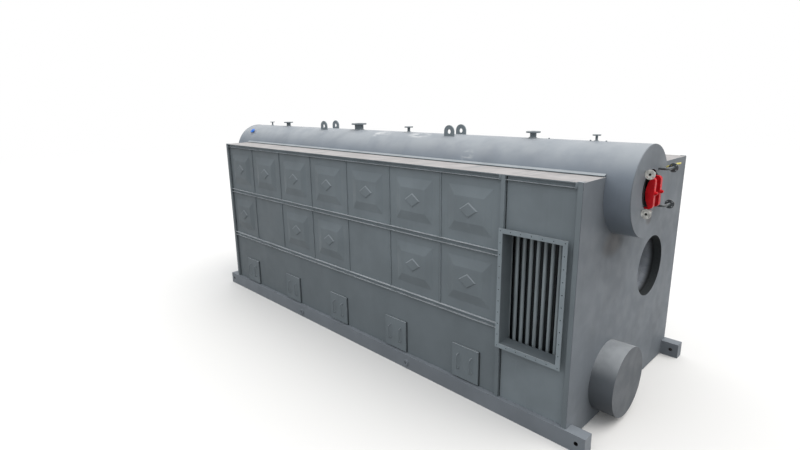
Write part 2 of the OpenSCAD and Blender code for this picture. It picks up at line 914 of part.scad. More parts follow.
module side_stub() {
    color(paint) difference() {
        place_stub() flanged_pipe(small_pipe_r, bore_of(small_pipe_r), small_flange,
            upper_drum_r - 40, upper_jacket_r + stub_rise);
        bar_y(upper_x, upper_z, 0, upper_y_rear, upper_drum_r + fit);
    }
}

// The bent part of a gauge pipe: out of the cover along -Y from y0, then a turn towards -X
module gauge_bend_part(r, y0) {
    turn_y = -gauge_front + gauge_bend;
    bar_y(0, 0, turn_y, y0, r);
    translate([-gauge_bend, turn_y, 0]) rotate([0, 0, -90]) rotate_extrude(angle = 90)
        translate([gauge_bend, 0]) circle(r = r);
}

// A gauge pipe through the front cover at height z from the drum's axis, flange towards -X
module gauge_pipe(z) {
    depth = head_depth * sqrt(1 - (gauge_x ^ 2 + z ^ 2) / upper_drum_r ^ 2);
    start = upper_head_y - depth - 6 - upper_y_front;
    translate([-gauge_x, upper_y_front, upper_z + z]) {
        difference() {
            gauge_bend_part(gauge_pipe_r, start);
            gauge_bend_part(bore_of(gauge_pipe_r), start + 1);
        }
        translate([0, -gauge_front, 0]) rotate([0, -90, 0]) flanged_pipe(gauge_pipe_r,
            bore_of(gauge_pipe_r), gauge_flange, gauge_bend, gauge_reach - gauge_x);
    }
}

module left_gauge_pipes() {
    color(bare_flange) translate([upper_x, 0, 0]) for (z = [-gauge_down, gauge_up]) gauge_pipe(z);
}

module right_gauge_pipes() {
    color(paint) translate([upper_x, 0, 0]) on_side(1) for (z = [-gauge_down, gauge_up])
        gauge_pipe(z);
}

// Lifting lugs

// One lug plate on the jacket, with a round top and a shackle hole
module lug(y) {
    top_r = lug_l / 2;
    eye_h = crown_z + lug_h - top_r;
    difference() {
        union() {
            bar_x(y, eye_h, 0, lug_t, top_r);
            span([0, y - top_r, crown_z - 60], [lug_t, y + top_r, eye_h]);
        }
        bar_x(y, eye_h, -1, lug_t + 1, lug_hole_r);
    }
}

module lug_pair(share) {
    y = y_front + share * casing_l;
    difference() {
        for (side = [-1, 1]) translate([upper_x + side * lug_gap / 2 - lug_t / 2, 0, 0]) lug(y);
        bar_y(upper_x, upper_z, y_front, y_rear, upper_jacket_r + fit);
    }
}

module lifting_lugs_front() {
    color(paint) lug_pair(front_lug_place);
}

module lifting_lugs_rear() {
    color(paint) lug_pair(rear_lug_place);
}

// Burner and flue

module burner_throat() {
    color(brick) difference() {
        bar_y(burner_x, burner_zc, y_in_front, y_in_front + throat_l, burner_r + throat_t);
        bar_y(burner_x, burner_zc, y_front, y_in_front + throat_l + 1, burner_r);
    }
}

// A rectangular tube along X round the flue outlet, grown by the amounts given
module outlet_frame(x0, x1, inner, outer) {
    difference() {
        outlet_block(x0, x1, outer);
        outlet_block(x0 - 1, x1 + 1, inner);
    }
}

module outlet_block(x0, x1, grow) {
    half = [0, outlet_w / 2 + grow, outlet_h / 2 + grow];
    centre = [0, outlet_yc, outlet_zc];
    span(centre - half + [x0, 0, 0], centre + half + [x1, 0, 0]);
}

module outlet_duct() {
    color(paint) outlet_frame(-flange_x + flange_t, -duct_end_x, 0, duct_t);
}

module outlet_flange() {
    mid_y = outlet_w / 2 + flange_bar_w / 2;
    mid_z = outlet_h / 2 + flange_bar_w / 2;
    side_gaps = ceil(2 * mid_z / flange_hole_pitch);
    end_gaps = ceil(2 * mid_y / flange_hole_pitch);
    color(paint) difference() {
        outlet_frame(-flange_x, -flange_x + flange_t, 0, flange_bar_w);
        for (side = [-1, 1]) {
            for (i = [0 : side_gaps])
                flange_hole(side * mid_y, -mid_z + i * 2 * mid_z / side_gaps);
            for (i = [1 : end_gaps - 1])
                flange_hole(-mid_y + i * 2 * mid_y / end_gaps, side * mid_z);
        }
    }
}

module flange_hole(dy, dz) {
    bar_x(outlet_yc + dy, outlet_zc + dz, -flange_x - 1, -flange_x + flange_t + 1, flange_hole_r);
}

// Boiler tubes

// A straight tube in X and Z from one point to another, at y = 0
module tube_run(from, to) {
    run = to - from;
    translate([from.x, 0, from.y]) rotate([0, atan2(run.x, run.y), 0])
        cylinder(h = norm(run), r = tube_r);
}

// The welded elbow between two runs, a little proud of the tubes
module elbow(corner) {
    translate([corner.x, 0, corner.y]) sphere(r = tube_r + elbow_proud);
}

// One tube from drum to drum: upright behind the outlet, turned to meet each drum squarely
module boiler_tube(row) {
    x = -first_row_x + row * row_pitch;
    upper_angle = upper_entry - row * upper_step;
    lower_angle = lower_entry - row * lower_step;
    top_corner = [x, upper_z - (upper_x - x) / tan(upper_angle)];
    low_corner = [x, lower_z + (lower_x - x) / tan(lower_angle)];
    tube_run(low_corner, top_corner);
    elbow(top_corner);
    elbow(low_corner);
    tube_run(top_corner, [upper_x, upper_z]
        - (upper_drum_r + fit) * [sin(upper_angle), cos(upper_angle)]);
    tube_run(low_corner, [lower_x, lower_z]
        + (lower_drum_r + fit) * [-sin(lower_angle), cos(lower_angle)]);
}

module tube_row(row) {
    for (i = [0 : tube_count - 1]) translate([0, last_tube_y - i * tube_pitch, 0])
        boiler_tube(row);
}

module outer_tube_row() {
    color(dark_steel) tube_row(0);
}

module inner_tube_rows() {
    color(dark_steel) for (row = [1 : tube_rows - 1]) tube_row(row);
}

// Access covers

module access_covers() {
    color(paint) for (share = access_places) {
        y = y_front + share * casing_l;
        span([-x_sheet - access_t, y - access_w / 2, beam_h + access_z],
            [-x_sheet, y + access_w / 2, beam_h + access_z + access_h]);
    }
}

// A bow handle that stands out from the plane x = 0 towards -X, upright
module bow_handle() {
    leg = handle_l / 2 - handle_r;
    turn = 3 * handle_r;
    out = handle_d - handle_r;
    for (up = [-1, 1]) mirror([0, 0, up > 0 ? 0 : 1]) {
        bar_x(0, leg, -out + turn, 0, handle_r);
        translate([-out + turn, 0, leg - turn]) rotate([90, -90, 0])
            rotate_extrude(angle = 90) translate([turn, 0]) circle(r = handle_r);
    }
    translate([-out, 0, -leg + turn]) cylinder(h = 2 * (leg - turn), r = handle_r);
}

module cover_handles() {
    color(paint) for (share = access_places, side = [-1, 1])
        translate([-x_sheet - access_t, y_front + share * casing_l + side * access_w / 4,
            beam_h + access_z + access_h / 2]) bow_handle();
}

skid_beam_left();
skid_beam_right();
skid_cross_members();
beam_eyes();
floor_slab();
front_wall();
rear_wall();
left_wall();
outlet_bay_wall();
right_wall();
roof_left();
roof_right();
division_wall();
left_posts();
right_posts();
left_rails();
right_rails();
left_panels();
right_panels();
left_lower_sheets();
right_lower_sheets();
outlet_bay_sheet();
drum_edge_strips();
upper_drum();
upper_drum_jacket();
upper_drum_front_cover();
upper_drum_rear_cover();
manhole_ring();
manhole_cover();
manhole_yokes();
left_gauge_pipes();
right_gauge_pipes();
steam_outlet();
valve_nozzles();
auxiliary_nozzle();
small_nozzles();
side_stub();
lifting_lugs_front();
lifting_lugs_rear();
lower_drum();
lower_drum_jackets();
burner_throat();
outlet_duct();
outlet_flange();
outer_tube_row();
inner_tube_rows();
access_covers();
cover_handles();
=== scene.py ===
"""Looks of the packaged water-tube boiler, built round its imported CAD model."""

import json
import math

import bmesh
import bpy
from mathutils import Matrix, Vector


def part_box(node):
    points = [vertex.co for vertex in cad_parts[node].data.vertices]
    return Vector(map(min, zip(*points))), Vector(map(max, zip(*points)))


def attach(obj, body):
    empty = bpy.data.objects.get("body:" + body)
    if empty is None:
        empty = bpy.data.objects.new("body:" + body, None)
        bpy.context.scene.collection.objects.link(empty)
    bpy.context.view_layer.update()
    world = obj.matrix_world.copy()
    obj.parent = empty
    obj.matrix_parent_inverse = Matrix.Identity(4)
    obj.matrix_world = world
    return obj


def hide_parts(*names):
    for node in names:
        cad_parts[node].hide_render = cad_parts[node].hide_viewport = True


bl_info = {
    "name": "Packaged water-tube boiler",
    "version": (1, 0, 0),
    "blender": (4, 5, 0),
    "location": "View3D > Sidebar > Boiler",
    "description": "Finishes the packed boiler: paint, welds, fittings, floor, light and camera",
    "category": "Object",
}

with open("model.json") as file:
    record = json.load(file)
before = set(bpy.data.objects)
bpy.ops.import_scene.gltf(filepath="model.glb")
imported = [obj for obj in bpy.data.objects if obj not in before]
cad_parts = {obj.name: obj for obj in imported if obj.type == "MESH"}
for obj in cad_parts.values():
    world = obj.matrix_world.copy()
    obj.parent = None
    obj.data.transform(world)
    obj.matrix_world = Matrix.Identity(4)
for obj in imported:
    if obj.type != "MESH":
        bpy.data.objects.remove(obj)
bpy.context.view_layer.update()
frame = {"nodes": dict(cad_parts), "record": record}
SLOTS = {part["node"]: part["material_slot"] for part in frame["record"]["subparts"]}

# Camera: width of the image and its focal length in pixels, place in metres, and angles
IMAGE_WIDTH = 800
FOCAL_PIXELS = 506.935
SENSOR_WIDTH = 36.0
CAMERA_PLACE = (-7.086, -6.756, 4.294)
CAMERA_YAW = 44.565
CAMERA_PITCH = 13.983
CAMERA_ROLL = 0.845


def linear(code):
    """Turns an sRGB hex value into linear red, green and blue."""
    parts = [int(code[i:i + 2], 16) / 255 for i in (1, 3, 5)]
    return [c / 12.92 if c <= 0.04045 else ((c + 0.055) / 1.055) ** 2.4 for c in parts]


def shade(rgb, factor):
    """A linear colour made lighter or darker, with the alpha that sockets want."""
    return [min(1.0, c * factor) for c in rgb[:3]] + [1.0]


def opaque(code):
    """The colour of an sRGB hex value, with the alpha that sockets want."""
    return shade(linear(code), 1.0)


def colour_property(name, description, code):
    return bpy.props.FloatVectorProperty(
        name=name, description=description, subtype="COLOR", size=3, min=0, max=1,
        default=linear(code))


def length_property(name, description, metres):
    return bpy.props.FloatProperty(
        name=name, description=description, subtype="DISTANCE", unit="LENGTH", min=0,
        default=metres)


class BoilerColours(bpy.types.PropertyGroup):
    casing: colour_property("Casing enamel", "Grey enamel of the casing", "#7C8488")
    plate: colour_property("Plate enamel", "Grey enamel of the end plates", "#71767B")
    skid: colour_property("Skid enamel", "Grey enamel of the skid, dulled by road dirt", "#797E83")
    drum: colour_property("Drum enamel", "Grey enamel of the upper drum's jacket", "#757D86")
    # Darkened as painted shade: the lower jackets sit low, in shade from the ground and deck below
    lower: colour_property("Lower drum enamel", "Grey enamel of the lower jackets", "#5B5F63")
    film: colour_property("Film", "Thin film of dust on paint that faces up", "#AAADAF")
    dust: colour_property("Dust", "Thick pale dust on the roof", "#A5A19F")
    yokes: colour_property("Yoke enamel", "Gloss red of the manhole yokes", "#CC1620")
    flange: colour_property("Machined steel", "Bare faces of the gauge flanges", "#B4B4B0")
    tubes: colour_property("Tube primer", "Grey primer on the boiler tubes", "#8A9396")
    # Near black painted for shade: shadow lines at the sheets' joints, the covers' shadows and the burner
    # opening's shaded front
    shade_black: colour_property("Joint mastic", "Dark mastic in the joints of the sheets", "#202527")
    cap: colour_property("Cap", "Plastic cap on the stub of the drum's flank", "#1F6FD0")
    tape: colour_property("Tape", "Plastic tape tied round a gauge pipe", "#EFE27A")
    floor: colour_property("Floor", "Plain floor under the boiler", "#DEDCD9")


class BoilerSizes(bpy.types.PropertyGroup):
    plate_edge: length_property("Plate edge", "Rounding of cut plate edges", 0.0015)
    beam_edge: length_property("Beam edge", "Rounding of rolled beams", 0.006)
    press_edge: length_property("Pressed edge", "Rounding of the pressed fields", 0.005)
    bead: length_property("Weld bead", "Half the width of a fillet weld", 0.005)
    # How deep from the front plate the burner's throat is painted near black as shade
    painted_shade_depth: length_property("Sleeve", "Depth of the dark part of the burner's throat", 0.17)
    stud: length_property("Yoke stud", "Radius of the stud's end in a yoke's boss", 0.015)
    dust_share: bpy.props.FloatProperty(
        name="Dust share", description="How much of an upward face the dust covers",
        subtype="FACTOR", min=0, max=1, default=0.8)


# Materials

def set_inputs(tree, node, inputs):
    """Gives the inputs of a node their values, or links the sockets that come in."""
    for name, value in inputs.items():
        if isinstance(value, bpy.types.NodeSocket):
            tree.links.new(value, node.inputs[name])
        else:
            node.inputs[name].default_value = value


def add_node(tree, kind, inputs=None, **settings):
    """Adds a node with its settings; inputs holds values or the sockets that are linked in."""
    node = tree.nodes.new("ShaderNode" + kind)
    for name, value in settings.items():
        setattr(node, name, value)
    set_inputs(tree, node, inputs or {})
    return node


def new_material(name):
    """An empty material with its shader, and the place of each point in metres."""
    material = bpy.data.materials.new(name)
    material.use_nodes = True
    tree = material.node_tree
    tree.nodes.clear()
    shader = add_node(tree, "BsdfPrincipled")
    output = add_node(tree, "OutputMaterial")
    set_inputs(tree, output, {"Surface": shader.outputs["BSDF"]})
    place = add_node(tree, "TexCoord").outputs["Object"]
    return material, tree, shader, place


# Inputs and output of a Mix node that works on colours
MIX_FACTOR, MIX_A, MIX_B, MIX_RESULT = 0, 6, 7, 2


def layered(tree, under, over, value, start, end, low=0.0, high=1.0):
    """Lays a colour over another, from a low to a high share as a value runs its range."""
    share = add_node(tree, "MapRange", {"Value": value, "From Min": start, "From Max": end,
                                        "To Min": low, "To Max": high},
                     interpolation_type="SMOOTHSTEP").outputs["Result"]
    return add_node(tree, "Mix", {MIX_FACTOR: share, MIX_A: under, MIX_B: over},
                    data_type="RGBA").outputs[MIX_RESULT]


def uneven(tree, place, per_metre, detail, start, end, low, high, stretch=None):
    """A share from low to high that changes over the surface with noise, so many lumps to
    the metre, drawn out along an axis by stretch."""
    if stretch:
        place = add_node(tree, "Mapping", {"Vector": place, "Scale": stretch}).outputs["Vector"]
    lumps = add_node(tree, "TexNoise", {"Vector": place, "Scale": per_metre, "Detail": detail})
    return add_node(tree, "MapRange", {"Value": lumps.outputs["Fac"], "From Min": start,
                                       "From Max": end, "To Min": low, "To Max": high},
                    interpolation_type="SMOOTHSTEP").outputs["Result"]


def patchy(tree, place, under, over, per_metre, detail, start=0.3, end=0.7, share=1.0,
           stretch=None):
    """Lays a colour over another in uneven patches."""
    patches = uneven(tree, place, per_metre, detail, start, end, 0.0, share, stretch)
    return add_node(tree, "Mix", {MIX_FACTOR: patches, MIX_A: under, MIX_B: over},
                    data_type="RGBA").outputs[MIX_RESULT]


def facing_up(tree):
    """How far a face looks up: 0 on a wall, 1 on a floor."""
    normal = add_node(tree, "NewGeometry").outputs["Normal"]
    return add_node(tree, "SeparateXYZ", {"Vector": normal}).outputs["Z"]


def distance(tree, place, centre, size=(1.0, 1.0, 1.0)):
    """How far each point lies from a centre: 1 at the reach of an oval of that size."""
    moved = add_node(tree, "Mapping", {"Vector": place, "Scale": [1 / s for s in size],
                                       "Location": [-c / s for c, s in zip(centre, size)]})
    return add_node(tree, "VectorMath", {0: moved.outputs["Vector"]}, operation="LENGTH").outputs["Value"]


def background_seen(tree):
    """1 where the camera, a mirror or glass looks at the background, 0 where it lights."""
    path = add_node(tree, "LightPath").outputs
    seen = path["Is Camera Ray"]
    for ray in ("Is Glossy Ray", "Is Transmission Ray"):
        seen = add_node(tree, "Math", {0: seen, 1: path[ray]}, operation="MAXIMUM").outputs[0]
    return seen


def bumped(tree, shader, place, *layers):
    """Stacks layers of lumps, each given by lumps to the metre, detail and depth in metres."""
    normal = {}
    for per_metre, detail, depth in layers:
        lumps = add_node(tree, "TexNoise", {"Vector": place, "Scale": per_metre,
                                            "Detail": detail}).outputs["Fac"]
        bump = add_node(tree, "Bump", {"Height": lumps, "Distance": depth, "Strength": 1.0, **normal})
        normal = {"Normal": bump.outputs["Normal"]}
    set_inputs(tree, shader, normal)


def sprayed_enamel(name, paint, dust_share=0.0, waves=0.0072, roughness=0.46, film=None,
                   painted_shade=0.0, gloss=0.12, marks=False, stains=()):
    """Alkyd enamel sprayed on sheet steel: satin, with orange peel, faint runs and dust.

    The sheets are thin and welded, so broad soft waves bend what they mirror. Painted shade
    is how far the paint is darkened towards the bottom and the rear, for the dark ground below
    and the dimmer light at the rear. Gloss is what the yard's dust has left of the shine, where
    0.5 is fresh enamel. Stains are brown smudges, each given by its place and how far it reaches."""
    material, tree, shader, place = new_material(name)
    # Cloudy tone of a hand-sprayed coat, a step every half metre
    colour = patchy(tree, place, shade(paint, 0.93), shade(paint, 1.07), 1.8, 4.0)
    # Rain and wash marks run down a wall, a few centimetres wide and a metre long
    colour = patchy(tree, place, colour, shade(paint, 1.12), 14.0, 5.0, 0.54, 0.76, 0.25,
                    (1.0, 1.0, 0.07))
    # Grime settles as small specks, about 15 mm across
    colour = patchy(tree, place, colour, shade(paint, 0.7), 65.0, 2.0, 0.64, 0.76, 0.12)
    if painted_shade > 0:
        where = add_node(tree, "SeparateXYZ", {"Vector": place}).outputs
        # Painted shade: the paint darker towards the bottom, where the dark ground below gives little
        # light
        dirt_and_shade = shade(paint, 0.55)
        colour = layered(tree, colour, dirt_and_shade, where["Z"], 0.3, 3.0, painted_shade, 0.0)
        # Painted shade: the rear bays darker than the front ones, where less light reaches them
        colour = layered(tree, colour, dirt_and_shade, where["Y"], -2.0, 4.5, 0.0, painted_shade)
    if marks:
        colour = rubbed_marks(tree, place, colour)
    for centre, size in stains:
        away = distance(tree, place, centre, size)
        colour = layered(tree, colour, opaque("#463F39"), away, 0.3, 1.0, 0.5, 0.0)
    if dust_share > 0:
        patches = uneven(tree, place, 3.2, 6.0, 0.25, 0.62, 0.6 * dust_share, dust_share)
        film = shade(film or bpy.context.scene.boiler_colours.film, 1.0)
        colour = layered(tree, colour, film, facing_up(tree), 0.3, 0.85, 0.0, patches)
    dull = uneven(tree, place, 5.0, 4.0, 0.3, 0.7, roughness - 0.06, roughness + 0.10)
    set_inputs(tree, shader, {"Base Color": colour, "Roughness": dull, "IOR": 1.5,
                              "Specular IOR Level": gloss})
    # Waves of the thin sheet, and over them orange peel in lumps of about 5 mm
    bumped(tree, shader, place, (1.3, 1.0, waves), (190.0, 1.0, 0.00012))
    return material


# Places on the drum's jacket where the coat is rubbed pale, how far each reaches, in metres,
# and how pale it is
RUBBED = [((-0.84, 0.03, 3.69), (0.18, 0.26, 0.10), 0.95),
          ((-0.80, -0.86, 3.70), (0.17, 0.32, 0.08), 0.95),
          ((-1.11, -2.13, 3.47), (0.10, 0.14, 0.17), 0.35)]


def rubbed_marks(tree, place, colour):
    """Pale marks where slings and boots rubbed the drum, in thin broken scratches."""
    for centre, size, paleness in RUBBED:
        scratches = uneven(tree, place, 9.0, 8.0, 0.42, 0.56, 0.0, paleness, (1.6, 0.5, 1.6))
        away = distance(tree, place, centre, size)
        colour = layered(tree, colour, opaque("#D2D2D1"), away, 0.3, 1.0, scratches, 0.0)
    return colour


def dusty_roof_coat(name):
    """Enamel under a thick layer of pale dust, with darker lines across the roof."""
    colours = bpy.context.scene.boiler_colours
    material, tree, shader, place = new_material(name)
    dust = patchy(tree, place, shade(colours.dust, 0.90), shade(colours.dust, 1.08), 4.0, 6.0)
    # Darker lines across the ledge, one each 0.1 to 0.3 m
    dust = patchy(tree, place, dust, shade(colours.casing, 0.95), 7.0, 3.0, 0.54, 0.66, 0.35,
                  (0.14, 1.6, 1.0))
    wall = patchy(tree, place, shade(colours.casing, 0.95), shade(colours.casing, 1.05), 4.0, 6.0)
    colour = layered(tree, wall, dust, facing_up(tree), 0.3, 0.9)
    set_inputs(tree, shader, {"Base Color": colour, "Roughness": 0.85, "Specular IOR Level": 0.3})
    bumped(tree, shader, place, (1.5, 2.0, 0.004), (120.0, 3.0, 0.0006))
    return material


def gloss_red_enamel(name):
    """Gloss enamel brushed on a casting: deep red, a little wavy, in an uneven tone."""
    paint = bpy.context.scene.boiler_colours.yokes
    material, tree, shader, place = new_material(name)
    colour = patchy(tree, place, shade(paint, 0.82), shade(paint, 1.1), 18.0, 3.0)
    dull = uneven(tree, place, 30.0, 2.0, 0.3, 0.7, 0.36, 0.50)
    set_inputs(tree, shader, {"Base Color": colour, "Roughness": dull, "IOR": 1.52,
                              "Specular IOR Level": 0.22})
    bumped(tree, shader, place, (60.0, 3.0, 0.0006))
    return material


def machined_steel(name, centres):
    """Turned flange faces: bright steel with fine rings from the tool, and bores painted near black as
    painted shade.
    """
    paint = bpy.context.scene.boiler_colours.flange
    material, tree, shader, place = new_material(name)
    colour = patchy(tree, place, shade(paint, 1.0), shade(paint, 0.62), 25.0, 4.0, 0.35)
    # Tool rings 1 mm apart, wide enough to show close up, round the middle of each flange
    turns = 2 * math.pi / 0.001
    height = 0.0
    for centre in centres:
        away = distance(tree, place, centre, (math.inf, 1.0, 1.0))
        angle = add_node(tree, "Math", {0: away, 1: turns}, operation="MULTIPLY").outputs[0]
        ring = add_node(tree, "Math", {0: angle}, operation="SINE").outputs[0]
        ring = add_node(tree, "MapRange", {"Value": away, "From Min": 0.05, "From Max": 0.07,
                                           "To Min": ring, "To Max": 0.0},
                        interpolation_type="SMOOTHSTEP").outputs["Result"]
        height = add_node(tree, "Math", {0: height, 1: ring}, operation="ADD").outputs[0]
        # Painted shade: the bore of each flange near black
        colour = layered(tree, colour, opaque("#0E0E0E"), away, GAUGE_BORE_RADIUS,
                         GAUGE_BORE_RADIUS + 0.002, 0.92, 0.0)
    bump = add_node(tree, "Bump", {"Height": height, "Distance": 0.00004, "Strength": 1.0})
    dull = uneven(tree, place, 25.0, 4.0, 0.3, 0.7, 0.34, 0.52)
    set_inputs(tree, shader, {"Base Color": colour, "Metallic": 0.75, "Roughness": dull,
                              "Normal": bump.outputs["Normal"]})
    return material


def mill_scale(name, code, rust_share=0.5):
    """Hot-rolled plate left as it came: dark blue-grey scale with brown patches of rust."""
    scale = linear(code)
    material, tree, shader, place = new_material(name)
    colour = patchy(tree, place, shade(scale, 0.8), shade(scale, 1.25), 9.0, 6.0, 0.35, 0.65)
    colour = patchy(tree, place, colour, opaque("#5B4436"), 22.0, 7.0, 0.60, 0.72, rust_share)
    dull = uneven(tree, place, 9.0, 6.0, 0.3, 0.7, 0.48, 0.7)
    set_inputs(tree, shader, {"Base Color": colour, "Metallic": 0.35, "Roughness": dull})
    bumped(tree, shader, place, (90.0, 4.0, 0.0004))
    return material


def tube_primer(name):
    """Grey primer on drawn tubes: a thin flat coat, with streaks along the tubes."""
    paint = bpy.context.scene.boiler_colours.tubes
    material, tree, shader, place = new_material(name)
    colour = patchy(tree, place, shade(paint, 1.08), shade(paint, 0.8), 24.0, 4.0, 0.35,
                    stretch=(1.0, 1.0, 0.08))
    set_inputs(tree, shader, {"Base Color": colour, "Roughness": 0.55})
    bumped(tree, shader, place, (140.0, 2.0, 0.0002))
    return material


def cast_refractory(name, painted_shade_end):
    """Castable refractory trowelled smooth: chalky grey, grainy, with hair cracks.

    Near the front plate, to a given depth, it is painted near black: painted shade in the front of the
    deep opening."""
    material, tree, shader, place = new_material(name)
    colour = patchy(tree, place, opaque("#8E939A"), opaque("#A6AAB0"), 5.0, 7.0)
    cracks = add_node(tree, "TexVoronoi", {"Vector": place, "Scale": 7.0},
                      feature="DISTANCE_TO_EDGE").outputs["Distance"]
    colour = layered(tree, colour, opaque("#3A3B3B"), cracks, 0.0, 0.012, 0.6, 0.0)
    back = add_node(tree, "SeparateXYZ", {"Vector": place}).outputs["Y"]
    # Painted shade: near black in the front of the opening, pale refractory deeper in
    colour = layered(tree, colour, opaque("#16191B"), back, painted_shade_end - 0.05,
                     painted_shade_end + 0.05, 1.0, 0.0)
    set_inputs(tree, shader, {"Base Color": colour, "Roughness": 0.9})
    bumped(tree, shader, place, (70.0, 5.0, 0.0012))
    return material


def shade_black_coat(name):
    """A near-black dull coat, slightly uneven, painted where there is only shade: shadow lines at the
    sheets' joints, shadows of the access covers and the shaded front of the burner opening.
    """
    shade_black = bpy.context.scene.boiler_colours.shade_black
    material, tree, shader, place = new_material(name)
    colour = patchy(tree, place, shade(shade_black, 0.8), shade(shade_black, 1.25), 45.0, 3.0)
    set_inputs(tree, shader, {"Base Color": colour, "Roughness": 0.8})
    bumped(tree, shader, place, (45.0, 3.0, 0.0005))
    return material


def moulded_plastic(name, paint):
    """Moulded polyethylene: even colour, soft gloss, very slight flow marks."""
    material, tree, shader, place = new_material(name)
    colour = patchy(tree, place, shade(paint, 0.93), shade(paint, 1.05), 40.0, 2.0)
    set_inputs(tree, shader, {"Base Color": colour, "Roughness": 0.35})
    bumped(tree, shader, place, (300.0, 1.0, 0.00008))
    return material


# Shapes

# Angles in degrees at which faces meet: below the first they are one flat face, below the
# second they are facets of a curve, and above the third the shading breaks
FLAT_ANGLE = 0.3
EDGE_ANGLE = 35.0
SHARP_ANGLE = 48.0


def linked_object(name, data):
    """An object at the origin, in the scene."""
    item = bpy.data.objects.new(name, data)
    bpy.context.scene.collection.objects.link(item)
    return item


def piece_from(form, name, material, slot, *replaced):
    """Makes a piece of a bmesh, in place, riding on the boiler."""
    mesh = bpy.data.meshes.new(name)
    form.to_mesh(mesh)
    form.free()
    mesh.materials.append(material)
    mesh.shade_smooth()
    mesh.set_sharp_from_angle(angle=math.radians(SHARP_ANGLE))
    piece = linked_object(name, mesh)
    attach(piece, "root")
    if replaced:
        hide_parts(*replaced)
    return piece


def weighted(piece):
    """Keeps the shading of broad flat faces flat beside their rounded edges."""
    modifier = piece.modifiers.new("Flat faces", "WEIGHTED_NORMAL")
    modifier.keep_sharp = True
    return piece


def paint_node(material, *nodes):
    """Gives CAD nodes whose shape is right their material."""
    for name in nodes:
        mesh = frame["nodes"][name].data
        mesh.materials.clear()
        mesh.materials.append(material)


def merged_form(node):
    """A copy of a CAD node's mesh as a bmesh, with its doubles merged and flat faces joined."""
    mesh = frame["nodes"][node].data.copy()
    for layer in ("custom_normal", "sharp_edge", "sharp_face"):
        if layer in mesh.attributes:
            mesh.attributes.remove(mesh.attributes[layer])
    form = bmesh.new()
    form.from_mesh(mesh)
    bpy.data.meshes.remove(mesh)
    bmesh.ops.remove_doubles(form, verts=form.verts, dist=2e-5)
    bmesh.ops.dissolve_limit(form, angle_limit=math.radians(FLAT_ANGLE), verts=form.verts,
                             edges=form.edges, use_dissolve_boundaries=False)
    for face in form.faces:
        face.material_index = 0
        face.smooth = True
    return form


def loose_boxes(node):
    """The lowest and highest corner of each loose solid of a CAD node, in order of place."""
    form = merged_form(node)
    left, boxes = set(form.verts), []
    while left:
        found, fresh = set(), [left.pop()]
        while fresh:
            found.update(fresh)
            fresh = list({e.other_vert(v) for v in fresh for e in v.link_edges} - found)
        left -= found
        corners = list(zip(*(v.co for v in found)))
        boxes.append((Vector(map(min, corners)), Vector(map(max, corners))))
    form.free()
    return sorted(boxes, key=lambda box: tuple(box[0]))


def bevel(form, edges, width, segments=2):
    """Rounds edges to a width."""
    bmesh.ops.bevel(form, geom=edges, offset=width, offset_type="OFFSET", segments=segments,
                    profile=0.5, affect="EDGES", clamp_overlap=True, material=-1)


def edges_of(made):
    """The edges of what an operator made."""
    return list(dict.fromkeys(e for v in made["verts"] for e in v.link_edges))


def round_edges(form, width, low=EDGE_ANGLE, high=180.0, segments=2):
    """Rounds the edges whose faces meet at an angle between low and high degrees."""
    picked = [e for e in form.edges if e.is_manifold and
              math.radians(low) < e.calc_face_angle(0.0) <= math.radians(high)]
    bevel(form, picked, width, segments)


def finished_form(form, node, *materials):
    """Puts a shaped copy of a CAD node in its place, with its materials in order."""
    piece = weighted(piece_from(form, node + "_finished", materials[0], SLOTS[node], node))
    for material in materials[1:]:
        piece.data.materials.append(material)
    return piece


def finish_nodes(material, *nodes, edge):
    """Replaces CAD nodes by copies of them with rounded edges."""
    for node in nodes:
        form = merged_form(node)
        round_edges(form, edge)
        finished_form(form, node, material)


def spun(form, outline, centre, axis, steps):
    """Spins an outline once round an axis and closes it."""
    bmesh.ops.spin(form, geom=outline, cent=centre, axis=axis, dvec=(0, 0, 0),
                   angle=2 * math.pi, steps=steps, use_merge=True)


def turned(form, profile, centre, axis, steps):
    """A ring about an axis, from a closed profile given as points."""
    corners = [form.verts.new(p) for p in profile]
    edges = [form.edges.new((a, b)) for a, b in zip(corners, corners[1:] + corners[:1])]
    spun(form, corners + edges, centre, axis, steps)


def tidy(form):
    """Merges doubles and points the faces outwards."""
    bmesh.ops.remove_doubles(form, verts=form.verts, dist=1e-6)
    bmesh.ops.recalc_face_normals(form, faces=form.faces)


def ring_bead(form, centre, axis, radius, bead, steps=56):
    """A round weld bead about an axis: a small circle spun once round it."""
    axis = Vector(axis).normalized()
    side = axis.orthogonal().normalized()
    middle = Vector(centre) + side * radius
    turn = Matrix((side, axis, side.cross(axis))).transposed().to_4x4()
    made = bmesh.ops.create_circle(form, cap_ends=False, radius=bead, segments=8,
                                   matrix=Matrix.Translation(middle) @ turn)
    spun(form, made["verts"] + edges_of(made), centre, axis, steps)


def rod(form, centre, axis, radius, length, segments):
    """A round or many-sided bar about an axis."""
    turn = Vector(axis).to_track_quat("Z", "Y").to_matrix().to_4x4()
    return bmesh.ops.create_cone(form, cap_ends=True, cap_tris=False, segments=segments,
                                 radius1=radius, radius2=radius, depth=length,
                                 matrix=Matrix.Translation(centre) @ turn)


def line_bead(form, start, end, bead):
    """A straight weld bead: a thin bar between two points."""
    run = Vector(end) - Vector(start)
    rod(form, Vector(start) + run / 2, run, bead, run.length, 8)


def block(form, corner, opposite, edge=0.0):
    """A box between two opposite corners, with rounded edges."""
    corner, opposite = Vector(corner), Vector(opposite)
    size = [abs(length) for length in opposite - corner]
    place = Matrix.Translation((corner + opposite) / 2) @ Matrix.Diagonal((*size, 1.0))
    made = bmesh.ops.create_cube(form, size=1.0, matrix=place)
    if edge > 0:
        bevel(form, edges_of(made), edge)


def disc(form, centre, axis, radius, depth, segments, edge):
    """A round plate about an axis, with the edges of its faces rounded."""
    made = rod(form, centre, axis, radius, depth, segments)
    bevel(form, [e for e in edges_of(made) if e.calc_face_angle(0.0) > math.radians(60)], edge)


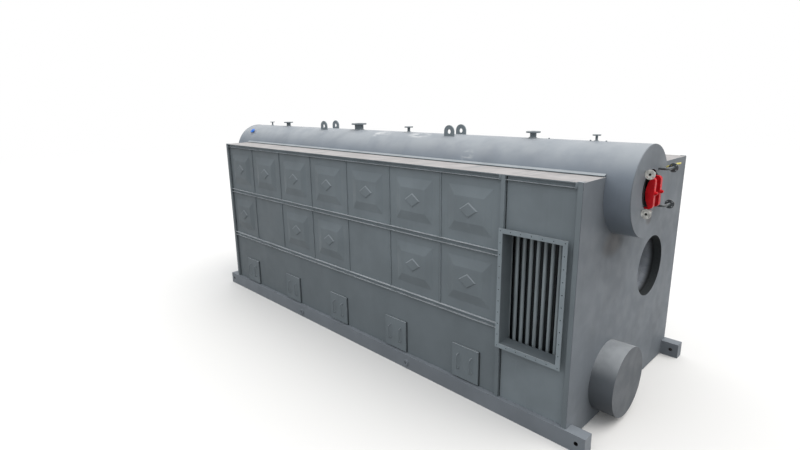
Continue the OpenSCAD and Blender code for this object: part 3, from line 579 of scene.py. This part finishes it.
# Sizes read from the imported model

JACKET_LOW, JACKET_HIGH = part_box("upper_drum_jacket")
COVER_LOW, COVER_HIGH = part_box("upper_drum_front_cover")
DRUM_X = (JACKET_LOW.x + JACKET_HIGH.x) / 2
DRUM_Z = (COVER_LOW.z + COVER_HIGH.z) / 2
JACKET_RADIUS = (COVER_HIGH.x - COVER_LOW.x) / 2
CROWN_Z = DRUM_Z + JACKET_RADIUS
FRONT_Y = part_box("front_wall")[0].y
REAR_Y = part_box("rear_wall")[1].y
WALL_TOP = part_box("front_wall")[1].z

# Sizes of the model that the box of a node doesn't give
GAUGE_FLANGE_RADIUS = 0.0575
GAUGE_PIPE_RADIUS = 0.017
GAUGE_BORE_RADIUS = 0.0135
YOKE_WIDTH = 0.058
MANHOLE_INSET = 0.014
COVER_HOLE_RADIUS = 0.258
COVER_HOLE_UP = 0.020
HANDLE_ROD_RADIUS = 0.007
LUG_THICKNESS = 0.022
DUCT_WALL = 0.008

# A post is wider than this only at the outlet's bay, and a face smaller than this many
# square metres lies in a drilled hole
NARROW_POST = 0.050
DRILLED_FACE = 0.00005

# The two hands of the casing, and the way along X that is outwards there
HANDS = (("left", -1), ("right", 1))

# Near-black mill scale for the inside of a beam and of a drilled hole: painted shade, darker than scale
# in light
SHADED_SCALE = "#15171A"


def drum_top(x):
    """Height of the upper jacket's surface above a place across it."""
    return DRUM_Z + math.sqrt(JACKET_RADIUS ** 2 - (x - DRUM_X) ** 2)


# Steps

class BOILER_OT_skid(bpy.types.Operator):
    """Skid beams, cross members and lashing eyes, with the welds of the eyes"""
    bl_idname = "boiler.skid"
    bl_label = "Skid"

    def execute(self, context):
        sizes = context.scene.boiler_sizes
        paint = sprayed_enamel("skid_enamel", context.scene.boiler_colours.skid)
        inside = mill_scale("beam_inner_shade", SHADED_SCALE)
        for node in ("skid_beam_left", "skid_beam_right"):
            form = merged_form(node)
            low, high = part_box(node)
            # Faces deep inside the beam take the near black of painted shade
            for face in form.faces:
                middle = face.calc_center_median()
                depth = min(*(middle - low), *(high - middle))
                face.material_index = int(depth > sizes.beam_edge)
            round_edges(form, sizes.beam_edge)
            finished_form(form, node, paint, inside)
        finish_nodes(paint, "skid_cross_members", edge=0.003)
        finish_nodes(paint, "beam_eyes", edge=0.004)
        self.weld_eyes(paint, sizes.bead)
        return {"FINISHED"}

    def weld_eyes(self, paint, bead):
        """Beads where the eyes stand on the outer sides of the beams."""
        form = bmesh.new()
        low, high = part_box("beam_eyes")
        radius = (high.z - low.z) / 2
        beam_x = abs(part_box("skid_beam_left")[0].x)
        for side in (-1, 1):
            for y in (low.y + radius, high.y - radius):
                ring_bead(form, (side * beam_x, y, low.z + radius), (1, 0, 0), radius, bead)
        tidy(form)
        piece_from(form, "eye_welds", paint, SLOTS["beam_eyes"])


class BOILER_OT_casing(bpy.types.Operator):
    """Front and rear plates, walls, floor and roof of the casing"""
    bl_idname = "boiler.casing"
    bl_label = "Casing"

    def execute(self, context):
        sizes = context.scene.boiler_sizes
        colours = context.scene.boiler_colours
        # A brown smudge on the front plate just under the drum
        under_drum_smudge = ((-0.80, FRONT_Y, 2.46), (0.42, 0.10, 0.22))
        plate = sprayed_enamel("end_plate_enamel", colours.plate, waves=0.012,
                               roughness=0.50, stains=(under_drum_smudge,))
        # Near black in the wall's openings: painted shade of the deep burner opening
        opening_shade = shade_black_coat("wall_opening_shade")
        roof = dusty_roof_coat("dusty_roof_enamel")
        for node in ("front_wall", "rear_wall"):
            form = merged_form(node)
            round_edges(form, sizes.plate_edge)
            self.part_wall(finished_form(form, node, plate, opening_shade, roof))
        finish_nodes(roof, "roof_left", "roof_right", edge=sizes.plate_edge)
        inner = mill_scale("inner_wall_scale", "#26292C", rust_share=0.2)
        paint_node(inner, "left_wall", "right_wall", "outlet_bay_wall", "floor_slab", "division_wall")
        strip = sprayed_enamel("strip_enamel", shade(colours.casing, 1.10), dust_share=0.6)
        finish_nodes(strip, "drum_edge_strips", edge=0.001)
        return {"FINISHED"}

    def part_wall(self, wall):
        """Near black in a wall's openings and behind its plate, as painted shade, and roof dust on its
        top.
        """
        plate_depth, top_depth = 0.012, 0.010
        for face in wall.data.polygons:
            depth = min(face.center.y - FRONT_Y, REAR_Y - face.center.y)
            if face.normal.z > 0.7 and face.center.z > WALL_TOP - top_depth:
                face.material_index = 2
            elif depth > plate_depth:
                face.material_index = 1


class BOILER_OT_frame(bpy.types.Operator):
    """Posts and rails of the sides, with their caps, brackets and painted shadow lines"""
    bl_idname = "boiler.frame"
    bl_label = "Posts and rails"

    def execute(self, context):
        sizes = context.scene.boiler_sizes
        colours = context.scene.boiler_colours
        # Posts darker towards the bottom and the rear as painted shade
        paint = sprayed_enamel("post_enamel", colours.casing, sizes.dust_share, painted_shade=0.5)
        finish_nodes(paint, "left_posts", "right_posts", edge=0.003)
        # Casing enamel a little darker on the rails: painted shade in their grooves; the pale film on
        # their lips is dust
        rail = sprayed_enamel("rail_shaded_enamel", shade(colours.casing, 0.95), dust_share=1.0,
                              film=linear("#B3B6B8"))
        finish_nodes(rail, "left_rails", "right_rails", edge=0.0012)
        self.cap_posts(paint)
        self.end_rails(rail)
        self.paint_joint_shadows()
        return {"FINISHED"}

    def end_rails(self, paint):
        """Small folded brackets that hold the front ends of the top rails."""
        form = bmesh.new()
        proud, width, length, below, above, edge = 0.004, 0.030, 0.028, 0.003, 0.001, 0.002
        same_height = 0.01
        for hand, side in HANDS:
            boxes = loose_boxes(hand + "_rails")
            top = max(high.z for low, high in boxes)
            for low, high in boxes:
                if high.z > top - same_height:
                    face = low.x if side < 0 else high.x
                    block(form, (face + side * proud, low.y, low.z - below),
                          (face - side * width, low.y + length, top + above), edge)
        piece_from(form, "rail_end_brackets", paint, SLOTS["left_rails"])

    def paint_joint_shadows(self):
        """Near-black strips on the sheets under each rail and beside each post: painted shadow lines
        where rails and posts stand proud of the sheets.
        """
        form = bmesh.new()
        proud, line, wide_line = 0.0015, 0.010, 0.014
        for hand, side in HANDS:
            low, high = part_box(hand + "_lower_sheets")
            face = low.x if side < 0 else high.x
            outside = face + side * proud
            for low, high in loose_boxes(hand + "_rails"):
                block(form, (face, low.y, low.z - line), (outside, high.y, low.z))
            for low, high in loose_boxes(hand + "_posts"):
                if high.y < REAR_Y - NARROW_POST:
                    block(form, (face, high.y, low.z), (outside, high.y + line, high.z))
                if high.y - low.y > NARROW_POST and low.y > FRONT_Y + NARROW_POST:
                    block(form, (face, low.y - wide_line, low.z), (outside, low.y, high.z))
        piece_from(form, "shade_black_coat", shade_black_coat("shade_black_coat"), SLOTS["left_panels"])

    def cap_posts(self, paint):
        """Small folded plates that close the corner posts over the roof plate."""
        form = bmesh.new()
        post_x = abs(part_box("left_posts")[0].x)
        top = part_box("roof_left")[1].z
        proud, width, length, inset = 0.002, 0.050, 0.070, 0.008
        above, below, edge = 0.006, 0.001, 0.002
        for side in (-1, 1):
            for y in (FRONT_Y + inset, REAR_Y - inset - length):
                block(form, (side * (post_x + proud), y, top - below),
                      (side * (post_x - width), y + length, top + above), edge)
        piece_from(form, "corner_post_caps", paint, SLOTS["left_posts"])


class BOILER_OT_side_sheets(bpy.types.Operator):
    """Pressed and plain sheets of both sides"""
    bl_idname = "boiler.side_sheets"
    bl_label = "Side sheets"

    def execute(self, context):
        sizes = context.scene.boiler_sizes
        colours = context.scene.boiler_colours
        # Sheets darker towards the bottom and the rear as painted shade
        sheet = sprayed_enamel("sheet_enamel", colours.casing, sizes.dust_share, painted_shade=0.5)
        for node in ("left_panels", "right_panels"):
            form = merged_form(node)
            # Shallow pressed folds first, then steep ones, then the cut edges
            round_edges(form, sizes.press_edge, 5.0, EDGE_ANGLE, segments=3)
            round_edges(form, 0.004, EDGE_ANGLE, 60.0)
            round_edges(form, sizes.plate_edge, 60.0)
            finished_form(form, node, sheet)
        finish_nodes(sheet, "left_lower_sheets", "right_lower_sheets", edge=sizes.plate_edge)
        # The outlet bay's sheet: the same enamel without the painted shade towards the bottom and rear
        sheet_without_shade = sprayed_enamel("bay_sheet_enamel", colours.casing, sizes.dust_share)
        finish_nodes(sheet_without_shade, "outlet_bay_sheet", edge=sizes.plate_edge)
        return {"FINISHED"}


class BOILER_OT_drums(bpy.types.Operator):
    """Both drums with their jackets and covers, and the rims of the covers"""
    bl_idname = "boiler.drums"
    bl_label = "Drums"

    def execute(self, context):
        colours = context.scene.boiler_colours
        jacket = sprayed_enamel("drum_jacket_enamel", colours.drum, dust_share=0.62,
                                waves=0.0096, roughness=0.44, gloss=0.3, marks=True)
        finish_nodes(jacket, "upper_drum_jacket", edge=0.002)
        smudge = ((-0.58, COVER_LOW.y, 2.80), (0.13, 0.05, 0.10))
        cover = sprayed_enamel("drum_cover_enamel", shade(colours.plate, 1.04),
                               dust_share=0.3, stains=(smudge,))
        finish_nodes(cover, "upper_drum_front_cover", "upper_drum_rear_cover", edge=0.003)
        # Lower jackets darkened as painted shade
        lower = sprayed_enamel("lower_jacket_shaded_enamel", colours.lower, dust_share=0.7)
        finish_nodes(lower, "lower_drum_jackets", edge=0.004)
        paint_node(mill_scale("drum_plate_scale", "#45494B"), "upper_drum", "lower_drum")
        self.roll_rims(cover)
        return {"FINISHED"}

    def roll_rims(self, paint):
        """A thin rolled rim where each end cover meets its jacket, and round the hole."""
        form = bmesh.new()
        for y in (COVER_HIGH.y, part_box("upper_drum_rear_cover")[0].y):
            ring_bead(form, (DRUM_X, y, DRUM_Z), (0, 1, 0), JACKET_RADIUS, bead=0.0022, steps=160)
        ring_bead(form, (DRUM_X, COVER_LOW.y + 0.002, DRUM_Z + COVER_HOLE_UP), (0, 1, 0),
                  COVER_HOLE_RADIUS, bead=0.004, steps=120)
        tidy(form)
        piece_from(form, "jacket_rims", paint, SLOTS["upper_drum_front_cover"])


class BOILER_OT_manhole(bpy.types.Operator):
    """Manhole ring and cover in the drum's head, and the red yokes with their stud ends"""
    bl_idname = "boiler.manhole"
    bl_label = "Manhole"

    def execute(self, context):
        scale = mill_scale("manhole_plate_scale", "#2B2F31")
        finish_nodes(scale, "manhole_cover", edge=0.004)
        finish_nodes(scale, "manhole_ring", edge=0.003)
        red = gloss_red_enamel("yoke_enamel")
        # The studs are bare where they go back past the face of the drum's head
        behind = COVER_LOW.y + MANHOLE_INSET - 0.001
        form = merged_form("manhole_yokes")
        for face in form.faces:
            face.material_index = int(face.calc_center_median().y > behind)
        round_edges(form, 0.007, segments=3)
        finished_form(form, "manhole_yokes", red, scale)
        self.end_studs(red, context.scene.boiler_sizes.stud)
        return {"FINISHED"}

    def end_studs(self, paint, radius):
        """Rounded ends of the studs, which stand out of the yokes' bosses."""
        form = bmesh.new()
        low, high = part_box("manhole_yokes")
        half = (high.x - low.x) / 2 - YOKE_WIDTH / 2
        for side in (-1, 1):
            disc(form, (DRUM_X + side * half, low.y - 0.004, DRUM_Z), (0, 1, 0), radius,
                 depth=0.016, segments=24, edge=0.004)
        piece_from(form, "yoke_stud_ends", paint, SLOTS["manhole_yokes"])


class BOILER_OT_nozzles(bpy.types.Operator):
    """Nozzles on the drum with collars where they leave the jacket, studs and the capped stub"""
    bl_idname = "boiler.nozzles"
    bl_label = "Nozzles"

    # Nodes with the radius of their pipes
    pipes = (("steam_outlet", 0.084), ("valve_nozzles", 0.0445), ("auxiliary_nozzle", 0.024),
             ("small_nozzles", 0.016))

    # Nodes with the room before and behind their front nozzle to a weld stud on the crown
    stud_rooms = (("small_nozzles", 0.13, 0.08), ("valve_nozzles", 0.25, 0.06))

    def execute(self, context):
        colours = context.scene.boiler_colours
        paint = sprayed_enamel("nozzle_enamel", shade(colours.casing, 0.86), dust_share=0.5, waves=0.0018)
        form = bmesh.new()
        for node, radius in self.pipes:
            finish_nodes(paint, node, edge=0.002)
            for y in self.places(node):
                self.collar(form, y, radius)
        for node, before, behind in self.stud_rooms:
            front = min(self.places(node))
            for y in (front - before, front + behind):
                disc(form, (DRUM_X, y, CROWN_Z + 0.005), (0, 0, 1), radius=0.010,
                     depth=0.014, segments=12, edge=0.002)
        tidy(form)
        piece_from(form, "nozzle_collars", paint, SLOTS["steam_outlet"])
        finish_nodes(paint, "side_stub", edge=0.0015)
        self.cap_stub(moulded_plastic("blue_cap_plastic", colours.cap))
        return {"FINISHED"}

    def places(self, node):
        """Places of a node's nozzles along the casing."""
        return [(low.y + high.y) / 2 for low, high in loose_boxes(node)]

    def collar(self, form, y, radius):
        """A sheet collar round a pipe, bent to lie on the jacket."""
        before = set(form.verts)
        inner, outer = radius + 0.0005, radius + 0.022
        profile = [(DRUM_X + inner, y, 0.012), (DRUM_X + outer - 0.004, y, 0.003),
                   (DRUM_X + outer, y, -0.004), (DRUM_X + inner, y, -0.004)]
        turned(form, profile, (DRUM_X, y, 0), (0, 0, 1), 40)
        for vert in set(form.verts) - before:
            vert.co.z += drum_top(vert.co.x)

    def cap_stub(self, plastic):
        """A blue plastic cap over the end of the stub, with a knob in its middle."""
        low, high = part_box("side_stub")
        lean, stub_length = math.radians(41), 0.046
        along = Vector((-math.sin(lean), 0, math.cos(lean)))
        tip = Vector((DRUM_X, (low.y + high.y) / 2, DRUM_Z))
        tip += along * (JACKET_RADIUS + stub_length)
        form = bmesh.new()
        disc(form, tip - along * 0.005, along, radius=0.0555, depth=0.024, segments=48, edge=0.004)
        disc(form, tip + along * 0.008, along, radius=0.022, depth=0.008, segments=24, edge=0.003)
        weighted(piece_from(form, "stub_cap", plastic, SLOTS["side_stub"]))


class BOILER_OT_gauge_pipes(bpy.types.Operator):
    """Bent gauge pipes in front of the cover, their welds and the yellow tape"""
    bl_idname = "boiler.gauge_pipes"
    bl_label = "Gauge pipes"

    # Middle line of the tape, from the middle of the flange's face
    tape_line = ((0.002, 0.092, -0.002), (0.008, 0.045, 0.022), (0.014, 0.010, 0.040),
                 (0.025, -0.020, 0.047), (0.090, -0.050, 0.050))
    tape_width = 0.022
    tape_thickness = 0.0008

    def execute(self, context):
        colours = context.scene.boiler_colours
        low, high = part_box("left_gauge_pipes")
        y = low.y + GAUGE_FLANGE_RADIUS
        centres = [(0, y, low.z + GAUGE_FLANGE_RADIUS), (0, y, high.z - GAUGE_FLANGE_RADIUS)]
        bright = machined_steel("turned_flange_steel", centres)
        finish_nodes(bright, "left_gauge_pipes", edge=0.0015)
        dark = sprayed_enamel("pipe_enamel", shade(colours.casing, 0.36), dust_share=0.35,
                              waves=0.0018, roughness=0.30, gloss=0.5)
        finish_nodes(dark, "right_gauge_pipes", edge=0.0015)
        self.weld_pipes(dark)
        self.tie_tape(moulded_plastic("yellow_tape_plastic", colours.tape))
        return {"FINISHED"}

    def weld_pipes(self, paint):
        """Beads where the pipes leave the cover, where they bend and behind the flanges."""
        form = bmesh.new()
        bend, flange = 0.045, 0.014
        for hand, side in HANDS:
            low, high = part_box(hand + "_gauge_pipes")
            pipe_x = low.x + GAUGE_PIPE_RADIUS if side > 0 else high.x - GAUGE_PIPE_RADIUS
            end_x = high.x if side > 0 else low.x
            run_y = low.y + GAUGE_FLANGE_RADIUS
            for z in (low.z + GAUGE_FLANGE_RADIUS, high.z - GAUGE_FLANGE_RADIUS):
                for centre, axis, radius, bead in (
                        ((pipe_x, COVER_LOW.y, z), (0, 1, 0), 0.0185, 0.004),
                        ((pipe_x, run_y + bend, z), (0, 1, 0), 0.0168, 0.002),
                        ((pipe_x + side * bend, run_y, z), (1, 0, 0), 0.0172, 0.002),
                        ((end_x - side * flange, run_y, z), (1, 0, 0), 0.0172, 0.003)):
                    ring_bead(form, centre, axis, radius, bead, steps=32)
        tidy(form)
        piece_from(form, "gauge_pipe_welds", paint, SLOTS["right_gauge_pipes"])

    def tie_tape(self, plastic):
        """A flat plastic tape that hangs over the upper flange from the pipe behind it."""
        low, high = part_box("right_gauge_pipes")
        centre = Vector((high.x, low.y + GAUGE_FLANGE_RADIUS, high.z - GAUGE_FLANGE_RADIUS))
        form = bmesh.new()
        start = centre + Vector(self.tape_line[0])
        across = Vector((0, 0, self.tape_width / 2))
        edge = form.edges.new([form.verts.new(start - across), form.verts.new(start + across)])
        for before, after in zip(self.tape_line, self.tape_line[1:]):
            made = bmesh.ops.extrude_edge_only(form, edges=[edge])["geom"]
            moved = [item for item in made if isinstance(item, bmesh.types.BMVert)]
            edge = next(item for item in made if isinstance(item, bmesh.types.BMEdge)
                        and set(item.verts) == set(moved))
            bmesh.ops.translate(form, verts=moved, vec=Vector(after) - Vector(before))
        bmesh.ops.subdivide_edges(form, edges=form.edges[:], cuts=2, smooth=0.8)
        piece = piece_from(form, "flange_tape", plastic, SLOTS["right_gauge_pipes"])
        wall = piece.modifiers.new("Thickness", "SOLIDIFY")
        wall.thickness = self.tape_thickness
        wall.offset = 0.0


class BOILER_OT_lugs(bpy.types.Operator):
    """Lifting lugs with fillet welds"""
    bl_idname = "boiler.lugs"
    bl_label = "Lifting lugs"

    def execute(self, context):
        sizes = context.scene.boiler_sizes
        colours = context.scene.boiler_colours
        paint = sprayed_enamel("lug_enamel", shade(colours.casing, 0.95), dust_share=0.4, waves=0.0024)
        form = bmesh.new()
        for node in ("lifting_lugs_front", "lifting_lugs_rear"):
            finish_nodes(paint, node, edge=0.003)
            low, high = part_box(node)
            for x in (low.x, low.x + LUG_THICKNESS, high.x, high.x - LUG_THICKNESS):
                z = drum_top(x)
                line_bead(form, (x, low.y, z), (x, high.y, z), sizes.bead)
        tidy(form)
        piece_from(form, "lug_welds", paint, SLOTS["lifting_lugs_front"])
        return {"FINISHED"}


class BOILER_OT_burner_opening(bpy.types.Operator):
    """Refractory throat behind the burner opening"""
    bl_idname = "boiler.burner_opening"
    bl_label = "Burner opening"

    def execute(self, context):
        # The throat is painted near black as shade to this depth
        painted_shade_end = FRONT_Y + context.scene.boiler_sizes.painted_shade_depth
        refractory = cast_refractory("throat_refractory", painted_shade_end)
        finish_nodes(refractory, "burner_throat", edge=0.012)
        return {"FINISHED"}


class BOILER_OT_flue_outlet(bpy.types.Operator):
    """Flue duct with its drilled flange, corner welds, and the rows of tubes behind it"""
    bl_idname = "boiler.flue_outlet"
    bl_label = "Flue outlet"

    def execute(self, context):
        sizes = context.scene.boiler_sizes
        colours = context.scene.boiler_colours
        # Casing enamel darkened inside the duct: painted shade
        paint = sprayed_enamel("duct_shaded_enamel", shade(colours.casing, 0.66), waves=0.0036)
        finish_nodes(paint, "outlet_duct", edge=0.0015)
        flange = sprayed_enamel("flange_enamel", shade(colours.casing, 1.25), sizes.dust_share,
                                waves=0.0036)
        form = merged_form("outlet_flange")
        # Faces of the drilled holes take the near black of painted shade
        for face in form.faces:
            drilled = abs(face.normal.x) < 0.1 and face.calc_area() < DRILLED_FACE
            face.material_index = int(drilled)
        round_edges(form, 0.001, 60.0)
        finished_form(form, "outlet_flange", flange, mill_scale("drilled_hole_shade", SHADED_SCALE))
        self.weld_duct(paint)
        paint_node(tube_primer("tube_primer"), "outer_tube_row")
        # Painted shade: the inner tube rows near black, the outer row in primer
        paint_node(mill_scale("inner_tube_shade", "#1F2427", rust_share=0.1), "inner_tube_rows")
        return {"FINISHED"}

    def weld_duct(self, paint):
        """Beads in the four inner corners of the duct."""
        form = bmesh.new()
        low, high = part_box("outlet_duct")
        for y in (low.y + DUCT_WALL, high.y - DUCT_WALL):
            for z in (low.z + DUCT_WALL, high.z - DUCT_WALL):
                line_bead(form, (low.x, y, z), (high.x, y, z), bead=0.004)
        tidy(form)
        piece_from(form, "duct_welds", paint, SLOTS["outlet_duct"])


class BOILER_OT_access_covers(bpy.types.Operator):
    """Access covers with folded edges, painted shadows in front of and below them, and bow handles on
    small feet
    """
    bl_idname = "boiler.access_covers"
    bl_label = "Access covers"

    def execute(self, context):
        colours = context.scene.boiler_colours
        # Covers darker towards the bottom and the rear as painted shade
        paint = sprayed_enamel("cover_enamel", colours.casing, dust_share=0.5, painted_shade=0.3)
        form = merged_form("access_covers")
        outer = [f for f in form.faces if f.normal.x < -0.9]
        # A flat border, and within it a fold that sets the middle back
        for width, depth in ((0.014, 0.0), (0.006, -0.003)):
            bmesh.ops.inset_individual(form, faces=outer, thickness=width, depth=depth,
                                       use_even_offset=True)
        round_edges(form, 0.003, 60.0)
        finished_form(form, "access_covers", paint)
        paint_node(paint, "cover_handles")
        self.handle_feet(paint)
        self.paint_cover_shadows()
        return {"FINISHED"}

    def paint_cover_shadows(self):
        """Near-black blocks in front of each cover and below it: painted shadow of the cover's edges."""
        form = bmesh.new()
        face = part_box("left_lower_sheets")[0].x
        thick, in_front, below, edge = 0.010, 0.014, 0.009, 0.003
        for low, high in loose_boxes("access_covers"):
            block(form, (face - thick, low.y - in_front, low.z - below), (face, high.y, high.z), edge)
        piece_from(form, "cover_shadows", shade_black_coat("cover_shadow_black"), SLOTS["access_covers"])

    def handle_feet(self, paint):
        """Round feet under both ends of each bow handle."""
        form = bmesh.new()
        foot_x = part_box("access_covers")[0].x - 0.001
        for low, high in loose_boxes("cover_handles"):
            for z in (low.z + HANDLE_ROD_RADIUS, high.z - HANDLE_ROD_RADIUS):
                disc(form, (foot_x, (low.y + high.y) / 2, z), (1, 0, 0), radius=0.014,
                     depth=0.006, segments=24, edge=0.0015)
        tidy(form)
        piece_from(form, "handle_feet", paint, SLOTS["cover_handles"])


# Floor, light and camera

# Light of the sky at the horizon and overhead, and the way to the veiled sun
HORIZON = (0.68, 0.71, 0.74, 1.0)
OVERHEAD = (1.37, 1.41, 1.46, 1.0)
TOWARDS_SUN = (0.2, -0.55, 1.0)
WHITE = (1.0, 1.0, 1.0, 1.0)


class BOILER_OT_stage(bpy.types.Operator):
    """Plain pale floor, soft overcast light and the camera"""
    bl_idname = "boiler.stage"
    bl_label = "Floor, light and camera"

    def execute(self, context):
        self.lay_floor(context)
        self.hang_sky(context)
        self.set_camera(context)
        context.scene.view_settings.view_transform = "Standard"
        return {"FINISHED"}

    def lay_floor(self, context):
        """A floor that fades to white far off, and keeps the boiler's shadow."""
        form = bmesh.new()
        bmesh.ops.create_grid(form, x_segments=1, y_segments=1, size=150.0)
        mesh = bpy.data.meshes.new("floor")
        form.to_mesh(mesh)
        form.free()
        linked_object("floor", mesh)
        material, tree, shader, place = new_material("plain_floor")
        mesh.materials.append(material)
        # The floor looks pale, and throws back as little light as dark paving does
        seen = background_seen(tree)
        colour = add_node(tree, "Mix", {MIX_FACTOR: seen, MIX_A: opaque("#6C6A68"),
                                        MIX_B: shade(context.scene.boiler_colours.floor, 1.0)},
                          data_type="RGBA").outputs[MIX_RESULT]
        set_inputs(tree, shader, {"Base Color": colour, "Roughness": 0.9})
        away = distance(tree, place, (0.0, 0.0, 0.0))
        share = add_node(tree, "MapRange", {"Value": away, "From Min": 12.0, "From Max": 45.0,
                                            "To Min": 0.0, "To Max": seen},
                         interpolation_type="SMOOTHSTEP").outputs["Result"]
        white = add_node(tree, "Emission", {"Color": WHITE, "Strength": 1.0})
        surface = add_node(tree, "MixShader", {0: share, 1: shader.outputs["BSDF"],
                                               2: white.outputs["Emission"]})
        output = next(n for n in tree.nodes if n.type == "OUTPUT_MATERIAL")
        set_inputs(tree, output, {"Surface": surface.outputs["Shader"]})

    def hang_sky(self, context):
        """An overcast sky that shows as white, and a sun behind thin cloud."""
        world = bpy.data.worlds.new("overcast_sky")
        context.scene.world = world
        world.use_nodes = True
        tree = world.node_tree
        tree.nodes.clear()
        direction = add_node(tree, "TexCoord").outputs["Generated"]
        height = add_node(tree, "SeparateXYZ", {"Vector": direction}).outputs["Z"]
        sky = layered(tree, HORIZON, OVERHEAD, height, 0.0, 0.9)
        light = add_node(tree, "Background", {"Color": sky, "Strength": 1.0})
        white = add_node(tree, "Background", {"Color": WHITE, "Strength": 1.0})
        mixed = add_node(tree, "MixShader", {0: background_seen(tree),
                                             1: light.outputs["Background"],
                                             2: white.outputs["Background"]})
        add_node(tree, "OutputWorld", {"Surface": mixed.outputs["Shader"]})
        lamp = bpy.data.lights.new("veiled_sun", "SUN")
        lamp.energy = 1.3
        lamp.angle = math.radians(50)
        lamp.color = (1.0, 0.97, 0.93)
        sun = linked_object("veiled_sun", lamp)
        sun.rotation_euler = Vector(TOWARDS_SUN).to_track_quat("Z", "Y").to_euler()

    def set_camera(self, context):
        """The camera at the photograph's viewpoint."""
        yaw, pitch, roll = (math.radians(a) for a in (CAMERA_YAW, CAMERA_PITCH, CAMERA_ROLL))
        turn = (Matrix.Rotation(-yaw, 4, "Z") @ Matrix.Rotation(math.pi / 2 - pitch, 4, "X")
                @ Matrix.Rotation(-roll, 4, "Z"))
        lens = bpy.data.cameras.new("camera")
        lens.sensor_width = SENSOR_WIDTH
        lens.sensor_fit = "HORIZONTAL"
        lens.lens = FOCAL_PIXELS * SENSOR_WIDTH / IMAGE_WIDTH
        lens.clip_end = 500.0
        camera = linked_object("camera", lens)
        camera.matrix_world = Matrix.Translation(CAMERA_PLACE) @ turn
        context.scene.camera = camera


# Panel and registration

STEPS = (BOILER_OT_stage, BOILER_OT_skid, BOILER_OT_casing, BOILER_OT_frame,
         BOILER_OT_side_sheets, BOILER_OT_drums, BOILER_OT_manhole, BOILER_OT_nozzles,
         BOILER_OT_gauge_pipes, BOILER_OT_lugs, BOILER_OT_burner_opening,
         BOILER_OT_flue_outlet, BOILER_OT_access_covers)


class BOILER_PT_panel(bpy.types.Panel):
    """Steps, colours and sizes of the boiler"""
    bl_idname = "BOILER_PT_panel"
    bl_label = "Boiler"
    bl_space_type = "VIEW_3D"
    bl_region_type = "UI"
    bl_category = "Boiler"

    def draw(self, context):
        for step in STEPS:
            self.layout.operator(step.bl_idname)
        for group in (context.scene.boiler_colours, context.scene.boiler_sizes):
            for name in group.__annotations__:
                self.layout.prop(group, name)


CLASSES = (BoilerColours, BoilerSizes, *STEPS, BOILER_PT_panel)


def register():
    for item in CLASSES:
        bpy.utils.register_class(item)
    bpy.types.Scene.boiler_colours = bpy.props.PointerProperty(type=BoilerColours)
    bpy.types.Scene.boiler_sizes = bpy.props.PointerProperty(type=BoilerSizes)


def unregister():
    del bpy.types.Scene.boiler_sizes
    del bpy.types.Scene.boiler_colours
    for item in reversed(CLASSES):
        bpy.utils.unregister_class(item)


def main():
    register()
    for step in STEPS:
        group, name = step.bl_idname.split(".")
        getattr(getattr(bpy.ops, group), name)()


if __name__ == "__main__":
    main()
